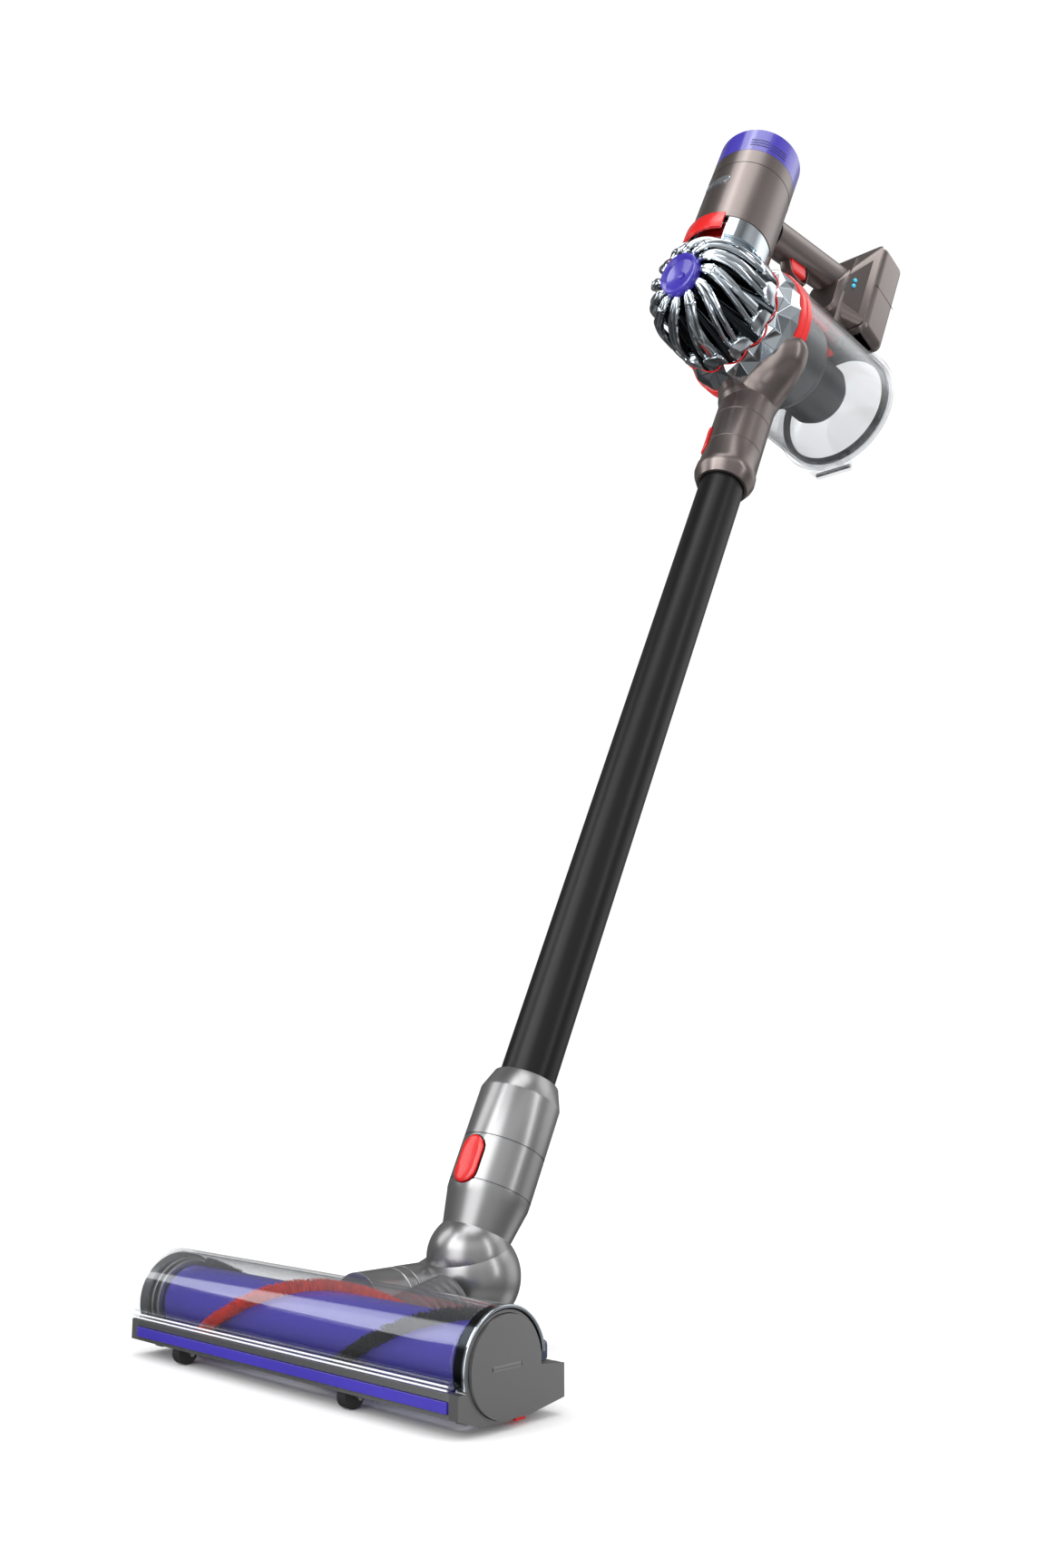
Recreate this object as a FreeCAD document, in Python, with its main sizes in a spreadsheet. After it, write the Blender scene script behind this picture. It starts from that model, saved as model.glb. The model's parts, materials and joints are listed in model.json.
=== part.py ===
import FreeCAD, Part
import math
import os
import Sketcher

"""Cordless stick vacuum cleaner: hand-held cyclone unit, straight wand and powered roller head.

World frame: +Z up, floor at z = 0, +X towards the head's end cap, the roller's axis along X.
Tilted frames: wand_frame has its z axis up the wand, cyclone_frame has its z axis rearwards
through the dust bin, motor_frame runs along the motor, and grip_frame runs along the handle.
In all of them x is the world's X.
"""

DRIVING = {
    # placing of the tilted axes
    "centre_shift": 316.8, "pivot_rear": 115.6, "pivot_height": 55.9, "wand_lean": 26.31,
    "cyclone_n": -125.1, "cyclone_s": 782.6, "cyclone_tilt": 73.475,
    "motor_n": -80.7, "grip_n": -20.0, "grip_s": 938.5, "grip_tilt": 64.95,
    # roller head
    "head_half": 145.4, "roller_height": 30.0, "cover_radius": 28.8, "cover_wall": 1.8,
    "core_radius": 20.5, "core_wall": 2.5, "core_half": 127.0, "bristle_radius": 26.3,
    "cap_radius": 24.9, "cap_depth": 7.0, "rim_width": 7.0, "end_wall": 9.0,
    "bar_front": 31.5, "bar_height": 21.0, "sole_height": 4.3, "block_rear": 44.3,
    "block_height": 25.0, "strip_low": 11.7, "strip_high": 17.1,
    "wheel_radius": 6.5, "wheel_width": 7.0, "axle_radius": 1.5, "shaft_gap": 0.05,
    # neck and wand
    "tube_radius": 18.65, "tube_wall": 1.2, "tube_low": 84.0, "tube_high": 690.0,
    "socket_radius": 19.0, "collar_radius": 27.0, "collar_low": 31.0, "collar_high": 118.3,
    "throat_radius": 21.0, "ball_radius": 31.0, "cup_wall": 2.6, "ball_gap": 0.4,
    "barrel_x": -22.0, "barrel_radius": 22.0, "barrel_start": 44.3, "barrel_end": 78.0,
    "inlet_low": 653.0, "inlet_high": 757.0, "inlet_radius": 24.0, "inlet_rim": 25.9,
    # cyclone, bin and motor
    "disc_radius": 18.5, "bin_radius": 57.8, "bin_wall": 2.0, "band_start": 98.0,
    "band_end": 112.0, "bin_end": 246.0, "lid_end": 251.0, "mesh_end": 172.0,
    "cone_count": 12.0, "cone_front": 5.8, "cone_rear": 10.2, "cone_ring_front": 24.0,
    "cone_ring_rear": 42.0, "cone_start": 24.0, "cone_end": 82.0,
    "motor_radius": 36.9, "shroud_wall": 2.2, "shroud_low": 860.0, "shroud_high": 949.4,
    "cap_high": 983.8, "neck_radius": 33.2, "lever_low": 842.0, "lever_wall": 2.8,
    # handle and battery
    "grip_radius": 15.75, "grip_length": 92.0, "pack_half": 37.0, "pack_front": 72.0,
    "pack_rear": 109.0, "pack_low": 912.5, "pack_high": 1028.0, "pack_round": 8.0,
    "pack_wall": 2.4, "cell_radius": 8.9, "cell_length": 65.0, "cell_count": 6.0,
    "port_radius": 2.75,
}

FULL_TURN = 360.0
X_AXIS = FreeCAD.Vector(1, 0, 0)
Y_AXIS = FreeCAD.Vector(0, 1, 0)
Z_AXIS = FreeCAD.Vector(0, 0, 1)

doc = FreeCAD.newDocument("stick_vacuum")
sheet = doc.addObject("Spreadsheet::Sheet", "sizes")
for row, (alias, value) in enumerate(DRIVING.items(), start=1):
    sheet.set(f"A{row}", alias)
    sheet.set(f"B{row}", str(value))
    sheet.setAlias(f"B{row}", alias)
doc.recompute()

sub_parts = []


def size(alias):
    """Read one driving dimension from the sheet."""
    return float(sheet.get(alias))


def moved(x=0.0, y=0.0, z=0.0, axis=X_AXIS, angle=0.0):
    """A placement: a turn about an axis, then a shift."""
    return FreeCAD.Placement(FreeCAD.Vector(x, y, z), FreeCAD.Rotation(axis, angle))


def bind(item, **sizes):
    """Bind properties of an object to expressions over the sheet."""
    for name, expression in sizes.items():
        item.setExpression(name, linked(expression))


def linked(expression):
    """Turn bare aliases in an expression into references to the sheet."""
    words = expression.replace("(", " ( ").replace(")", " ) ").split()
    return " ".join(f"sizes.{word}" if word in DRIVING else word for word in words)


def keep(item, label):
    """Name an object as one sub-part of the machine."""
    item.Label = label
    sub_parts.append(item)
    return item


def cylinder(radius, length, place):
    item = doc.addObject("Part::Cylinder", "cylinder")
    bind(item, Radius=radius, Height=length)
    item.Placement = place
    return item


def cone(radius_low, radius_high, length, place):
    item = doc.addObject("Part::Cone", "cone")
    bind(item, Radius1=radius_low, Radius2=radius_high, Height=length)
    item.Placement = place
    return item


def ball(radius, place):
    item = doc.addObject("Part::Sphere", "ball")
    bind(item, Radius=radius)
    item.Placement = place
    return item


def block(length, width, height, place):
    """A box centred on its placement in x and y, standing on it in z."""
    item = doc.addObject("Part::Box", "block")
    bind(item, Length=length, Width=width, Height=height)
    doc.recompute()
    corner = moved(-item.Length.Value / 2, -item.Width.Value / 2)
    item.Placement = place * corner
    return item


def rounded(item, radius):
    """Round every edge of a solid."""
    doc.recompute()
    result = doc.addObject("Part::Fillet", "rounded")
    result.Base = item
    result.Edges = [(edge, radius, radius) for edge in range(1, len(item.Shape.Edges) + 1)]
    return result


def cut(base, *tools):
    result = doc.addObject("Part::Cut", "cut")
    result.Base = base
    result.Tool = fuse(*tools)
    return result


def fuse(*items):
    if len(items) == 1:
        return items[0]
    result = doc.addObject("Part::MultiFuse", "fuse")
    result.Shapes = list(items)
    return result


def common(*items):
    result = doc.addObject("Part::MultiCommon", "common")
    result.Shapes = list(items)
    return result


def outline_sketch(body, plane, points):
    """A closed sketch of straight lines whose corners are bound to the sheet."""
    sketch = body.newObject("Sketcher::SketchObject", "outline")
    sketch.AttachmentSupport = [(origin_plane(body, plane), "")]
    sketch.MapMode = "FlatFace"
    doc.recompute()
    corners = [FreeCAD.Vector(value_of(a), value_of(b), 0) for a, b in points]
    for index, corner in enumerate(corners):
        following = corners[(index + 1) % len(corners)]
        sketch.addGeometry(Part.LineSegment(corner, following), False)
    for index in range(len(corners)):
        following = (index + 1) % len(corners)
        sketch.addConstraint(Sketcher.Constraint("Coincident", index, 2, following, 1))
    for index, expressions in enumerate(points):
        for kind, expression in zip(("DistanceX", "DistanceY"), expressions):
            pin_corner(sketch, index, kind, expression)
    return sketch


def pin_corner(sketch, index, kind, expression):
    """Hold one corner of an outline at a sheet-driven distance from the sketch's origin."""
    value = value_of(expression)
    if value == 0:
        axis = -2 if kind == "DistanceX" else -1
        sketch.addConstraint(Sketcher.Constraint("PointOnObject", index, 1, axis))
        return
    number = sketch.addConstraint(Sketcher.Constraint(kind, -1, 1, index, 1, value))
    if any(alias in expression.replace("(", " ").replace(")", " ").split() for alias in DRIVING):
        sketch.setExpression(f"Constraints[{number}]", linked(expression))


def value_of(expression):
    """Evaluate an expression over the sheet through FreeCAD's own engine."""
    return float(sheet.evalExpression(linked(expression).replace("sizes.", "")))


def origin_plane(body, role):
    for feature in body.Origin.OriginFeatures:
        if feature.Role == role:
            return feature
    raise ValueError(f"no {role}")


def turned(points, place):
    """A lathe-turned body: (radius, height) corners revolved about the frame's z axis."""
    body = doc.addObject("PartDesign::Body", "turned")
    sketch = outline_sketch(body, "XZ_Plane", points)
    revolution = body.newObject("PartDesign::Revolution", "revolution")
    revolution.Profile = sketch
    revolution.ReferenceAxis = (sketch, ["V_Axis"])
    revolution.Angle = FULL_TURN
    body.Placement = place
    sketch.Visibility = False
    return body


def extruded(points, length, place):
    """A body pushed out from a flat outline, centred on its plane along the frame's z axis."""
    body = doc.addObject("PartDesign::Body", "extruded")
    sketch = outline_sketch(body, "XY_Plane", points)
    pad = body.newObject("PartDesign::Pad", "pad")
    pad.Profile = sketch
    pad.SideType = "Symmetric"
    bind(pad, Length=length)
    body.Placement = place
    sketch.Visibility = False
    return body


def ring(outer, inner, low, high, place):
    """A plain ring or tube."""
    return turned([(inner, low), (outer, low), (outer, high), (inner, high)], place)


# Frames --------------------------------------------------------------------------------

floor = moved(y=-size("centre_shift"))
roller_frame = floor * moved(z=size("roller_height"))
sideways = FreeCAD.Placement(
    FreeCAD.Vector(0, 0, 0), FreeCAD.Rotation(Y_AXIS, Z_AXIS, X_AXIS, "ZXY"))
side_frame = floor * sideways
along_x = moved(axis=Y_AXIS, angle=90)
along_y = moved(axis=X_AXIS, angle=-90)
pivot_frame = floor * moved(y=size("pivot_rear"), z=size("pivot_height"))
wand_frame = pivot_frame * moved(angle=-size("wand_lean"))
cyclone_frame = wand_frame * moved(
    y=size("cyclone_n"), z=size("cyclone_s"), angle=-size("cyclone_tilt"))
motor_frame = wand_frame * moved(y=size("motor_n"))
grip_frame = wand_frame * moved(y=size("grip_n"), z=size("grip_s"), angle=-size("grip_tilt"))
barrel_frame = floor * moved(x=size("barrel_x"), z=size("roller_height"))


# Roller head ---------------------------------------------------------------------------

HEAD_INNER = "head_half - end_wall"
WHEELS = {
    "wheel_front_left": (-97.0, -24.0), "wheel_front_right": (55.0, -24.0),
    "wheel_rear_left": (-110.0, 37.0), "wheel_rear_right": (95.0, 37.0),
}


def wheel_place(x, y):
    """The centre line of a wheel, with its z axis along X."""
    return floor * moved(x=x, y=y, z=size("wheel_radius")) * along_x


def wheel_wells():
    """Clearances for the four wheels, cut up from under the base."""
    return [
        cylinder("wheel_radius + 1.2", "wheel_width + 3",
                 wheel_place(x, y) * moved(z=-size("wheel_width") / 2 - 1.5))
        for x, y in WHEELS.values()
    ]


def axle_holes(radius):
    """Four axles, or their holes, across the wheel wells."""
    reach = size("wheel_width") / 2 + 4.5
    return [
        cylinder(radius, "wheel_width + 9", wheel_place(x, y) * moved(z=-reach))
        for x, y in WHEELS.values()
    ]


def build_base():
    """One moulding: bar in front, block behind and a thin sole with the suction mouth."""
    front = extruded(
        [("0 - bar_front", "bar_height"), ("0 - bar_front", "sole_height + 5"),
         ("0 - 17", "sole_height"), ("0 - 17", "sole_height + 2"), ("0 - 22.5", "11"),
         ("0 - 27.5", "bar_height")],
        "head_half * 2 - end_wall * 2", side_frame)
    rear = extruded(
        [("block_rear", "block_height"), ("29.6", "block_height"), ("24", "12"),
         ("21", "sole_height + 2"), ("21", "sole_height"), ("block_rear", "sole_height + 4.1")],
        "head_half * 2 - end_wall * 2", side_frame)
    ribs = [
        block("8", "42", "2", floor * moved(x=x, y=2, z=size("sole_height")))
        for x in (-132.4, 132.4)
    ]
    hose_port = cylinder("barrel_radius - 7.5", "20", floor * moved(x=22, y=30, z=20) * along_y)
    groove = block("head_half * 2", "3", "strip_high - strip_low + 0.4",
                   floor * moved(y=-size("bar_front"), z=size("strip_low") - 0.2))
    tools = [groove, hose_port] + wheel_wells() + axle_holes("axle_radius")
    keep(cut(fuse(front, rear, *ribs), *tools), "head_base")
    axles = fuse(*axle_holes("axle_radius"))
    keep(axles, "wheel_axles")
    strip = block("head_half * 2 - end_wall * 2 - 1", "2.6", "strip_high - strip_low",
                  floor * moved(y=-size("bar_front") + 0.1, z=size("strip_low")))
    keep(strip, "bumper_strip")


def build_end(label, centre, pocket):
    """An end plate: rounded over the roller, with a foot in front and a block behind."""
    plate = extruded(
        [("0 - bar_front", "bar_height"), ("0 - bar_front", "sole_height + 5"),
         ("0 - 17", "sole_height"), ("18", "sole_height"), ("block_rear", "sole_height + 4.1"),
         ("block_rear", "block_height"), ("26", "block_height + 2"), ("20", "roller_height"),
         ("0 - 20", "roller_height"), ("0 - 27", "bar_height")],
        "end_wall - 2", floor * moved(x=centre) * sideways)
    half = (size("end_wall") - 2) / 2
    top = cylinder("cover_radius - cover_wall - 0.4", "end_wall - 2",
                   roller_frame * along_x * moved(z=centre - half))
    keep(cut(fuse(plate, top), *pocket), label)


def arc_shell(outer, inner, x_low, x_high, start, end):
    """Part of a tube round the roller, between two angles from the rear over the top."""
    shell = turned([(inner, x_low), (outer, x_low), (outer, x_high), (inner, x_high)],
                   roller_frame * along_x)
    reach = size("cover_radius") * 3
    corners = [(0.0, 0.0)]
    for step in range(7):
        angle = math.radians(start + (end - start) * step / 6)
        corners.append((reach * math.cos(angle), reach * math.sin(angle)))
    points = [(f"{round(a, 3)}", f"{round(b, 3)}") for a, b in corners]
    sector = extruded(points, "head_half * 3", roller_frame * sideways)
    return common(shell, sector)


def build_cover():
    """The clear cover over the roller and the dark rim round its right end."""
    keep(arc_shell("cover_radius", "cover_radius - cover_wall", "0 - head_half",
                   "head_half - rim_width - 2.2", 21, 196), "head_cover")
    keep(arc_shell("cover_radius + 0.5", "cover_radius - cover_wall", "head_half - rim_width - 2",
                   "head_half - 2", 8, 196), "cover_rim")


def build_end_cap():
    """The quarter-turn disc with its coin slot, seated in the right end plate."""
    disc = cylinder("cap_radius", "cap_depth",
                    roller_frame * along_x * moved(z=size("head_half") - size("cap_depth")))
    slot = block("6", "21", "2.2", roller_frame * moved(x=size("head_half"), z=-1.1))
    keep(cut(disc, slot), "end_cap")


def helix_tufts(label, starts, turns):
    """Rows of bristle tufts that wind round the roller core."""
    tufts = []
    count = 26
    span = 2 * size("core_half") - 12
    root = size("core_radius") + 0.05
    for start in starts:
        for step in range(count):
            share = step / (count - 1)
            tuft = block("( core_half * 2 - 12 ) / 26", "2.4", "bristle_radius - core_radius",
                         roller_frame * moved(x=-span / 2 + span * share)
                         * moved(axis=X_AXIS, angle=start + FULL_TURN * turns * share)
                         * moved(z=root))
            tufts.append(tuft)
    keep(fuse(*tufts), label)


def build_roller():
    core = turned(
        [("8.2", "0 - core_half"), ("core_radius", "0 - core_half"),
         ("core_radius", "core_half"), ("8.2", "core_half"), ("8.2", "core_half - 4"),
         ("core_radius - core_wall", "core_half - 4"),
         ("core_radius - core_wall", "4 - core_half"), ("8.2", "4 - core_half")],
        roller_frame * along_x)
    keep(core, "roller_core")
    helix_tufts("bristles_red", [160], -0.84)
    helix_tufts("bristles_black", [340], -0.84)
    spindle = cylinder("4", "head_half * 2 - end_wall * 2",
                       roller_frame * along_x * moved(z=size("end_wall") - size("head_half")))
    stator = cylinder("14", "120", roller_frame * along_x * moved(z=-60))
    keep(fuse(spindle, stator), "roller_motor")


def build_wheels():
    for label, (x, y) in WHEELS.items():
        centre = wheel_place(x, y)
        keep(ring("wheel_radius", "axle_radius + shaft_gap", "0 - wheel_width / 2",
                  "wheel_width / 2", centre), label)


def build_head():
    build_base()
    right = size("head_half") - size("end_wall") / 2 - 1
    cap_seat = cylinder("cap_radius + 0.3", "cap_depth",
                        roller_frame * along_x * moved(z=size("head_half") - size("cap_depth") - 0.3))
    build_end("end_plate_right", right, [cap_seat])
    recess = cylinder("20", "1.5", roller_frame * along_x * moved(z=-size("head_half")))
    build_end("end_plate_left", -right, [recess])
    build_cover()
    build_end_cap()
    build_roller()
    build_wheels()
    window = block("26", "11", "10.5", floor * moved(x=122, y=36.5, z=size("block_height") + 0.1))
    keep(rounded(window, 2.5), "head_window")
    latch = block("14", "7", "2", floor * moved(x=134, y=14, z=size("sole_height") - 2.2))
    keep(latch, "sole_latch")


# Neck and wand -------------------------------------------------------------------------


def build_elbow():
    """The cup that holds the ball, its duct to the barrel, and the pins it turns on."""
    inner = "ball_radius + ball_gap"
    outer = "ball_radius + ball_gap + cup_wall"
    shell = cut(ball(outer, pivot_frame), ball(inner, pivot_frame))
    open_side = pivot_frame * moved(angle=-size("wand_lean") - 14)
    lid = block("120", "120", "60", open_side * moved(z=5))
    duct = cone("barrel_radius - 1", "barrel_radius + 2", "26",
                barrel_frame * moved(y=size("barrel_end") + 0.3) * along_y)
    hollow = ball(inner, pivot_frame)
    spigot = cylinder("barrel_radius - 2.55", "14",
                      barrel_frame * moved(y=size("barrel_end") - 12) * along_y)
    pins = [
        cylinder("4", "10", pivot_frame * along_x * moved(z=side * 29 - 5)) for side in (-1, 1)
    ]
    cup = fuse(cut(fuse(shell, duct, spigot), lid, hollow), *pins)
    keep(cup, "elbow_cup")


def build_barrel():
    """The barrel on the back of the head that lets the elbow roll from side to side."""
    barrel = ring("barrel_radius", "barrel_radius - 2.5", "barrel_start", "barrel_end",
                  barrel_frame * along_y)
    keep(barrel, "barrel")
    hose = doc.addObject("Part::Feature", "hose")
    start = floor.multVec(FreeCAD.Vector(22, 34, 21))
    bend = floor.multVec(FreeCAD.Vector(21, 56, 22.5))
    end = floor.multVec(FreeCAD.Vector(19, 77, 28))
    hose.Shape = hose_tube(start, bend, end, size("barrel_radius") - 9)
    keep(hose, "hose")


def hose_tube(start, bend, end, radius):
    """A bent solid rod along an arc through three points."""
    path = Part.Wire(Part.Arc(start, bend, end).toShape())
    heading = path.Edges[0].tangentAt(path.Edges[0].FirstParameter)
    circle = Part.Wire(Part.makeCircle(radius, start, heading))
    return path.makePipeShell([circle], True, True)


def build_neck():
    """The ball with its throat, the collar that takes the wand, and the red release."""
    sphere = ball("ball_radius", wand_frame)
    throat = turned(
        [("0", "0"), ("throat_radius", "0"), ("throat_radius", "ball_radius - 8"),
         ("collar_radius - 1", "collar_low - 0.4"), ("collar_radius - 1", "collar_low"),
         ("0", "collar_low")], wand_frame)
    bore = cylinder("15", "60", wand_frame * moved(z=-10))
    pin_hole = cylinder("4 + shaft_gap", "80", pivot_frame * along_x * moved(z=-40))
    keep(cut(fuse(sphere, throat), bore, pin_hole), "neck_ball")
    collar = turned(
        [("15", "collar_low"), ("collar_radius", "collar_low"),
         ("collar_radius", "collar_high - 13"), ("socket_radius + 2", "collar_high"),
         ("socket_radius", "collar_high"), ("socket_radius", "tube_low - 0.5"),
         ("15", "tube_low - 0.5")], wand_frame)
    pocket = block("17.4", "8.3", "33", wand_frame * moved(y=-size("collar_radius"), z=36.0))
    keep(cut(collar, pocket), "neck_collar")
    button = block("16", "3.6", "31.6", wand_frame * moved(y=-size("collar_radius") + 0.4, z=36.7))
    keep(rounded(button, 1.6), "neck_button")


def build_wand():
    keep(ring("tube_radius", "tube_radius - tube_wall", "tube_low", "tube_high", wand_frame),
         "wand_tube")
    seals = [
        ring("tube_radius - tube_wall", "tube_radius - tube_wall - 2", low, high, wand_frame)
        for low, high in (("tube_low", "tube_low + 14"), ("tube_high - 14", "tube_high"))
    ]
    keep(fuse(*seals), "wand_seals")


# Hand unit -----------------------------------------------------------------------------


def build_inlet():
    """The socket for the wand and the duct that swings round to the side of the bin."""
    collar = turned(
        [("socket_radius", "inlet_low"), ("inlet_rim - 2.5", "inlet_low"),
         ("inlet_rim", "inlet_low + 5"), ("inlet_rim", "inlet_low + 9"),
         ("inlet_radius", "inlet_low + 20"), ("inlet_radius", "inlet_high"),
         ("15", "inlet_high"), ("15", "tube_high + 0.5"),
         ("socket_radius", "tube_high + 0.5")], wand_frame)
    seat = wand_frame * moved(axis=Z_AXIS, angle=-38) * moved(y=-size("inlet_radius"), z=681)
    pocket = block("11.4", "7", "29", seat)
    band_room = cylinder("bin_radius + 0.3", "bin_end", cyclone_frame)
    keep(cut(collar, pocket, band_room), "inlet_collar")
    button = block("10", "3", "27.6", seat * moved(y=0.3, z=0.7))
    keep(rounded(button, 1.3), "inlet_button")
    duct = doc.addObject("Part::Feature", "duct")
    duct.Shape = duct_shape()
    duct.Placement = wand_frame
    bin_clearance = cylinder("bin_radius + 0.05", "bin_end", cyclone_frame)
    keep(cut(duct, bin_clearance), "inlet_duct")


def duct_shape():
    """A loft through round sections from the inlet socket to the side of the bin."""
    radius = size("inlet_radius")
    stations = [
        (0.0, 0.0, size("inlet_high"), radius, 0.0),
        (12.0, 0.0, size("inlet_high") + 17, radius + 1.0, 18.0),
        (30.0, -2.0, size("inlet_high") + 40, radius, 28.0),
        (44.0, -4.0, size("inlet_high") + 64, radius - 4.0, 30.0),
        (52.0, -5.0, size("inlet_high") + 80, radius - 13.0, 30.0),
    ]
    wires = []
    for x, across, up, section_radius, lean in stations:
        lean_angle = math.radians(lean)
        heading = FreeCAD.Vector(math.sin(lean_angle), 0, math.cos(lean_angle))
        circle = Part.makeCircle(section_radius, FreeCAD.Vector(x, across, up), heading)
        wires.append(Part.Wire(circle))
    return Part.makeLoft(wires, True)


def build_cyclone():
    """The ring of small cones, its core and manifold, the front disc and the red band."""
    count = int(size("cone_count"))
    length = size("cone_end") - size("cone_start")
    spread = size("cone_ring_rear") - size("cone_ring_front")
    tilt = math.degrees(math.atan2(spread, length))
    cones = [
        cone("cone_front", "cone_rear", "cone_end - cone_start",
             cyclone_frame * moved(axis=Z_AXIS, angle=FULL_TURN * index / count)
             * moved(y=-size("cone_ring_front"), z=size("cone_start"), angle=tilt))
        for index in range(count)
    ]
    keep(fuse(*cones), "cyclone_cones")
    core = turned(
        [("0", "9"), ("disc_radius + 4", "9"), ("disc_radius + 4", "17"),
         ("cone_ring_front - cone_front - 1", "cone_start - 1"),
         ("cone_ring_rear - cone_rear - 2", "cone_end + 1"), ("0", "cone_end + 1")],
        cyclone_frame)
    keep(core, "cyclone_core")
    manifold = turned(
        [("0", "cone_end + 5"), ("bin_radius - 9", "cone_end + 5"),
         ("bin_radius - 1", "band_start - 0.1"), ("bin_radius - 1", "band_start"),
         ("0", "band_start")], cyclone_frame)
    keep(manifold, "cyclone_manifold")
    keep(turned([("0", "2.5"), ("disc_radius - 4", "2.5"), ("disc_radius - 1.5", "0"),
                 ("disc_radius", "1"), ("disc_radius", "9"), ("0", "9")], cyclone_frame),
         "front_disc")
    keep(turned([("bin_radius - 14", "band_start"), ("bin_radius", "band_start"),
                 ("bin_radius", "band_end"), ("bin_radius - 14", "band_end")], cyclone_frame),
         "red_band")
    mesh = turned(
        [("40", "band_end"), ("43.5", "band_end"), ("43.5", "mesh_end - 12"), ("36", "mesh_end"),
         ("29.5", "mesh_end"), ("29.5", "mesh_end - 3"), ("34", "mesh_end - 3"),
         ("40", "mesh_end - 14")], cyclone_frame)
    keep(mesh, "mesh_shroud")
    inner = turned(
        [("26", "band_start + 15"), ("29", "band_start + 15"), ("29", "214"), ("25", "222"),
         ("22", "222"), ("26", "213")], cyclone_frame)
    keep(inner, "inner_cone")


def build_bin():
    """The clear bin, its hinged lid with a dark seal, and the hinge pin."""
    tube = ring("bin_radius", "bin_radius - bin_wall", "band_end", "bin_end", cyclone_frame)
    hinge = cyclone_frame * moved(y=size("bin_radius") + 5, z=size("bin_end") + 2)
    lugs = [
        block("8", "14", "16", hinge * moved(x=side * 14, y=-3.7, z=-13)) for side in (-1, 1)
    ]
    lug_holes = cylinder("1.8", "60", hinge * along_x * moved(z=-30))
    inside = cylinder("bin_radius - bin_wall", "bin_end + 10", cyclone_frame)
    lid_room = cylinder("bin_radius + 1.5", "10", cyclone_frame * moved(z=size("bin_end")))
    keep(cut(fuse(tube, *lugs), lug_holes, inside, lid_room), "bin_cylinder")
    keep(cylinder("1.8", "36", hinge * along_x * moved(z=-18)), "hinge_pin")
    plate = turned(
        [("0", "bin_end + 0.3"), ("bin_radius + 0.2", "bin_end + 0.3"),
         ("bin_radius + 0.2", "lid_end - 1.5"), ("bin_radius - 3", "lid_end"), ("0", "lid_end")],
        cyclone_frame)
    knuckle = block("19.4", "10.5", "4.4", hinge * moved(y=-2.0, z=-1.6))
    lug_room = [
        block("8.8", "12", "7", hinge * moved(x=side * 14, y=-0.5, z=-3.5)) for side in (-1, 1)
    ]
    pin_room = cylinder("1.8 + shaft_gap", "60", hinge * along_x * moved(z=-30))
    keep(cut(fuse(plate, knuckle), pin_room, *lug_room), "bin_lid")
    keep(ring("bin_radius - bin_wall - 0.5", "bin_radius - bin_wall - 5", "bin_end - 5",
              "bin_end + 0.3", cyclone_frame), "lid_seal")


def build_motor():
    """Shroud, motor, impeller, chrome neck and the purple exhaust filter."""
    shroud = ring("motor_radius", "motor_radius - shroud_wall", "shroud_low", "shroud_high",
                  motor_frame)
    band_room = cylinder("bin_radius + 0.3", "120", cyclone_frame)
    keep(cut(shroud, band_room), "motor_shroud")
    envelope = cone("29.5", "54.8", "64", cyclone_frame * moved(z=20))
    manifold_room = cylinder("bin_radius + 0.1", "60", cyclone_frame * moved(z=84))
    neck = ring("neck_radius", "neck_radius - 3", "818", "shroud_low + 12", motor_frame)
    keep(cut(neck, envelope, manifold_room), "airway_neck")
    keep(ring("26", "4.05", "876", "928", motor_frame), "motor_can")
    shaft = cylinder("4", "66", motor_frame * moved(z=874))
    wheel = cylinder("24", "9", motor_frame * moved(z=931))
    keep(fuse(shaft, wheel), "impeller")
    spider = ring("motor_radius - shroud_wall", "26", "896", "900", motor_frame)
    keep(spider, "motor_mount")
    cap = turned(
        [("0", "cap_high"), ("motor_radius - 6", "cap_high - 1"),
         ("motor_radius", "cap_high - 6"), ("motor_radius", "shroud_high + 0.3"),
         ("motor_radius - 2.4", "shroud_high + 0.3"), ("motor_radius - 2.4", "cap_high - 6"),
         ("0", "cap_high - 3")], motor_frame)
    keep(cap, "filter_cap")
    keep(ring("motor_radius - 2.6", "14", "shroud_high + 2", "cap_high - 8", motor_frame),
         "exhaust_filter")
    lever_ring = ring("motor_radius + 0.4 + lever_wall", "motor_radius + 0.4", "lever_low",
                      "shroud_low + 1", motor_frame)
    wedge = extruded(
        [("0", "0"), ("0 - 44", "0 - 60"), ("34", "0 - 60")], "400",
        motor_frame * moved(z=size("lever_low")))
    keep(common(lever_ring, wedge), "eject_lever")
    badge_ring = ring("motor_radius + 0.8", "motor_radius", "900", "913", motor_frame)
    badge_face = block("30", "60", "40", motor_frame * moved(x=-4, y=-40, z=890))
    keep(common(badge_ring, badge_face), "badge")


def build_rod():
    """The red rail inside the top of the bin that pushes the lid open."""
    rail = block("7", "3.4", "112", cyclone_frame * moved(y=-51.5, z=118))
    keep(rail, "eject_rod")


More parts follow.
